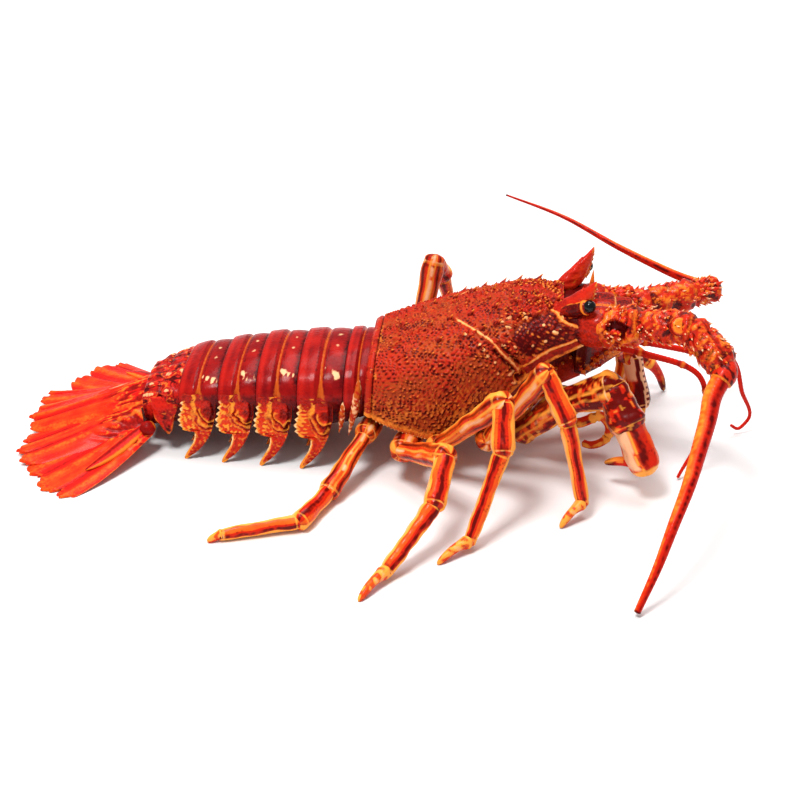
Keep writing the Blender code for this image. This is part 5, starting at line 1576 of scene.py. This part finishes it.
def make_feeler(finishes, name):
    """A thin red feeler with three pale knots."""
    count = 180
    path = through(FEELER_ROUTES[name], count)
    share = np.linspace(0, 1, count)
    radius = FEELER_RADII[0] + (FEELER_RADII[1] - FEELER_RADII[0]) * share
    knots = np.minimum.reduce([np.abs(share - at) for at in (0.16, 0.36, 0.55)])
    radius *= (1 + 0.28 * hump(knots, 0, 0.012)) * (1 - 0.07 * (np.arange(count) % 3 == 0))
    radius[0], radius[-1] = radius[0] * 0.5, radius[-1] * 0.3
    rings = bar(path, radius, 12)
    marks = no_marks(rings)
    put(marks, HOT, 1 + 0 * rings[..., 0])
    put(marks, RIDGE, 0.5 * hump(knots, 0, 0.010)[:, None] + 0 * rings[..., 0])
    put(marks, DARK_AND_SHADE, 0.5 * hump(knots, 0.02, 0.010)[:, None] + 0 * rings[..., 0])
    piece(f"thin_feeler_{name}", loft(rings, marks), finishes["whip"], "whip_orange",
          f"feeler_{name}")


def fan_stem(root, end, side, half, outer):
    """The stiff ridged stem of a side blade and the knob that it turns on."""
    outward = side * (1 if (side @ [0, 1, 0]) * root[1] > 0 else -1)
    reach = 0.62 if outer else 0.45
    share = np.linspace(0, 1, 44)
    path = root + (end - root) * [1, 1, 0] * reach * share[:, None]
    path = path + outward * (half * 0.35 + 4.5 * np.sin(share * math.pi * 0.6)[:, None]) * (
        1.0 if outer else -0.3)
    path[:, 2] = end[2] + (root[2] - end[2]) * (1 - share * reach) ** 1.5 + (1.9 if outer else 1.2)
    width = 3.9 * np.sin(math.pi * (0.12 + 0.86 * share)) ** 0.7 * (1.0 if outer else 0.55)
    rings = bar(path, width, 28)
    middle = path[:, None]
    rings = middle + (rings - middle) * [1, 1, 0.55]
    rings[..., 2] = np.maximum(rings[..., 2], 0.2)
    turn = turns(28)[None, :] + 0 * rings[..., 0]
    marks = no_marks(rings)
    put(marks, HOT, 1 + 0 * turn)
    put(marks, DARK_AND_SHADE, 0.85 * hump(np.cos(turn), 0.1, 0.40) * (np.sin(turn) > 0))
    put(marks, RIDGE, 0.95 * step(0.62, 0.80, np.abs(np.cos(turn))) * (0.6 + 0.4 * step(
        0.1, 0.3, share))[:, None])
    put(marks, DARK_AND_SHADE, 0.7 * step(0.93, 0.98, share)[:, None] + 0 * turn)
    if not outer:
        return [loft(rings, marks)]
    part = np.linspace(0, 1, 20)
    knob_path = root + outward * half * 0.35 + [4.4, 0, 2.6] + part[:, None] * (
        unit(end - root) * 7.6)
    knob = bar(knob_path, 3.8 * np.sin(math.pi * (0.06 + 0.88 * part)) ** 0.5, 24)
    knob_marks = no_marks(knob)
    put(knob_marks, HOT, 1 + 0 * knob[..., 0])
    put(knob_marks, DARK_AND_SHADE, 0.7 + 0.3 * hump(part, 1, 0.3)[:, None] + 0 * knob[..., 0])
    put(knob_marks, RIDGE, 0.9 * hump(part, 0.12, 0.06)[:, None] + 0 * knob[..., 0])
    return [loft(rings, marks), loft(knob, knob_marks)]


def main():
    finishes = make_finishes()
    make_back_shell(finishes)
    make_underside(finishes)
    make_head_front(finishes)
    make_tail(finishes)
    make_swimmerets(finishes)
    make_fan(finishes)
    make_legs(finishes)
    make_antennae(finishes)
    make_eyes(finishes)
    make_mouthparts(finishes)
    make_studio()
    make_camera()


main()
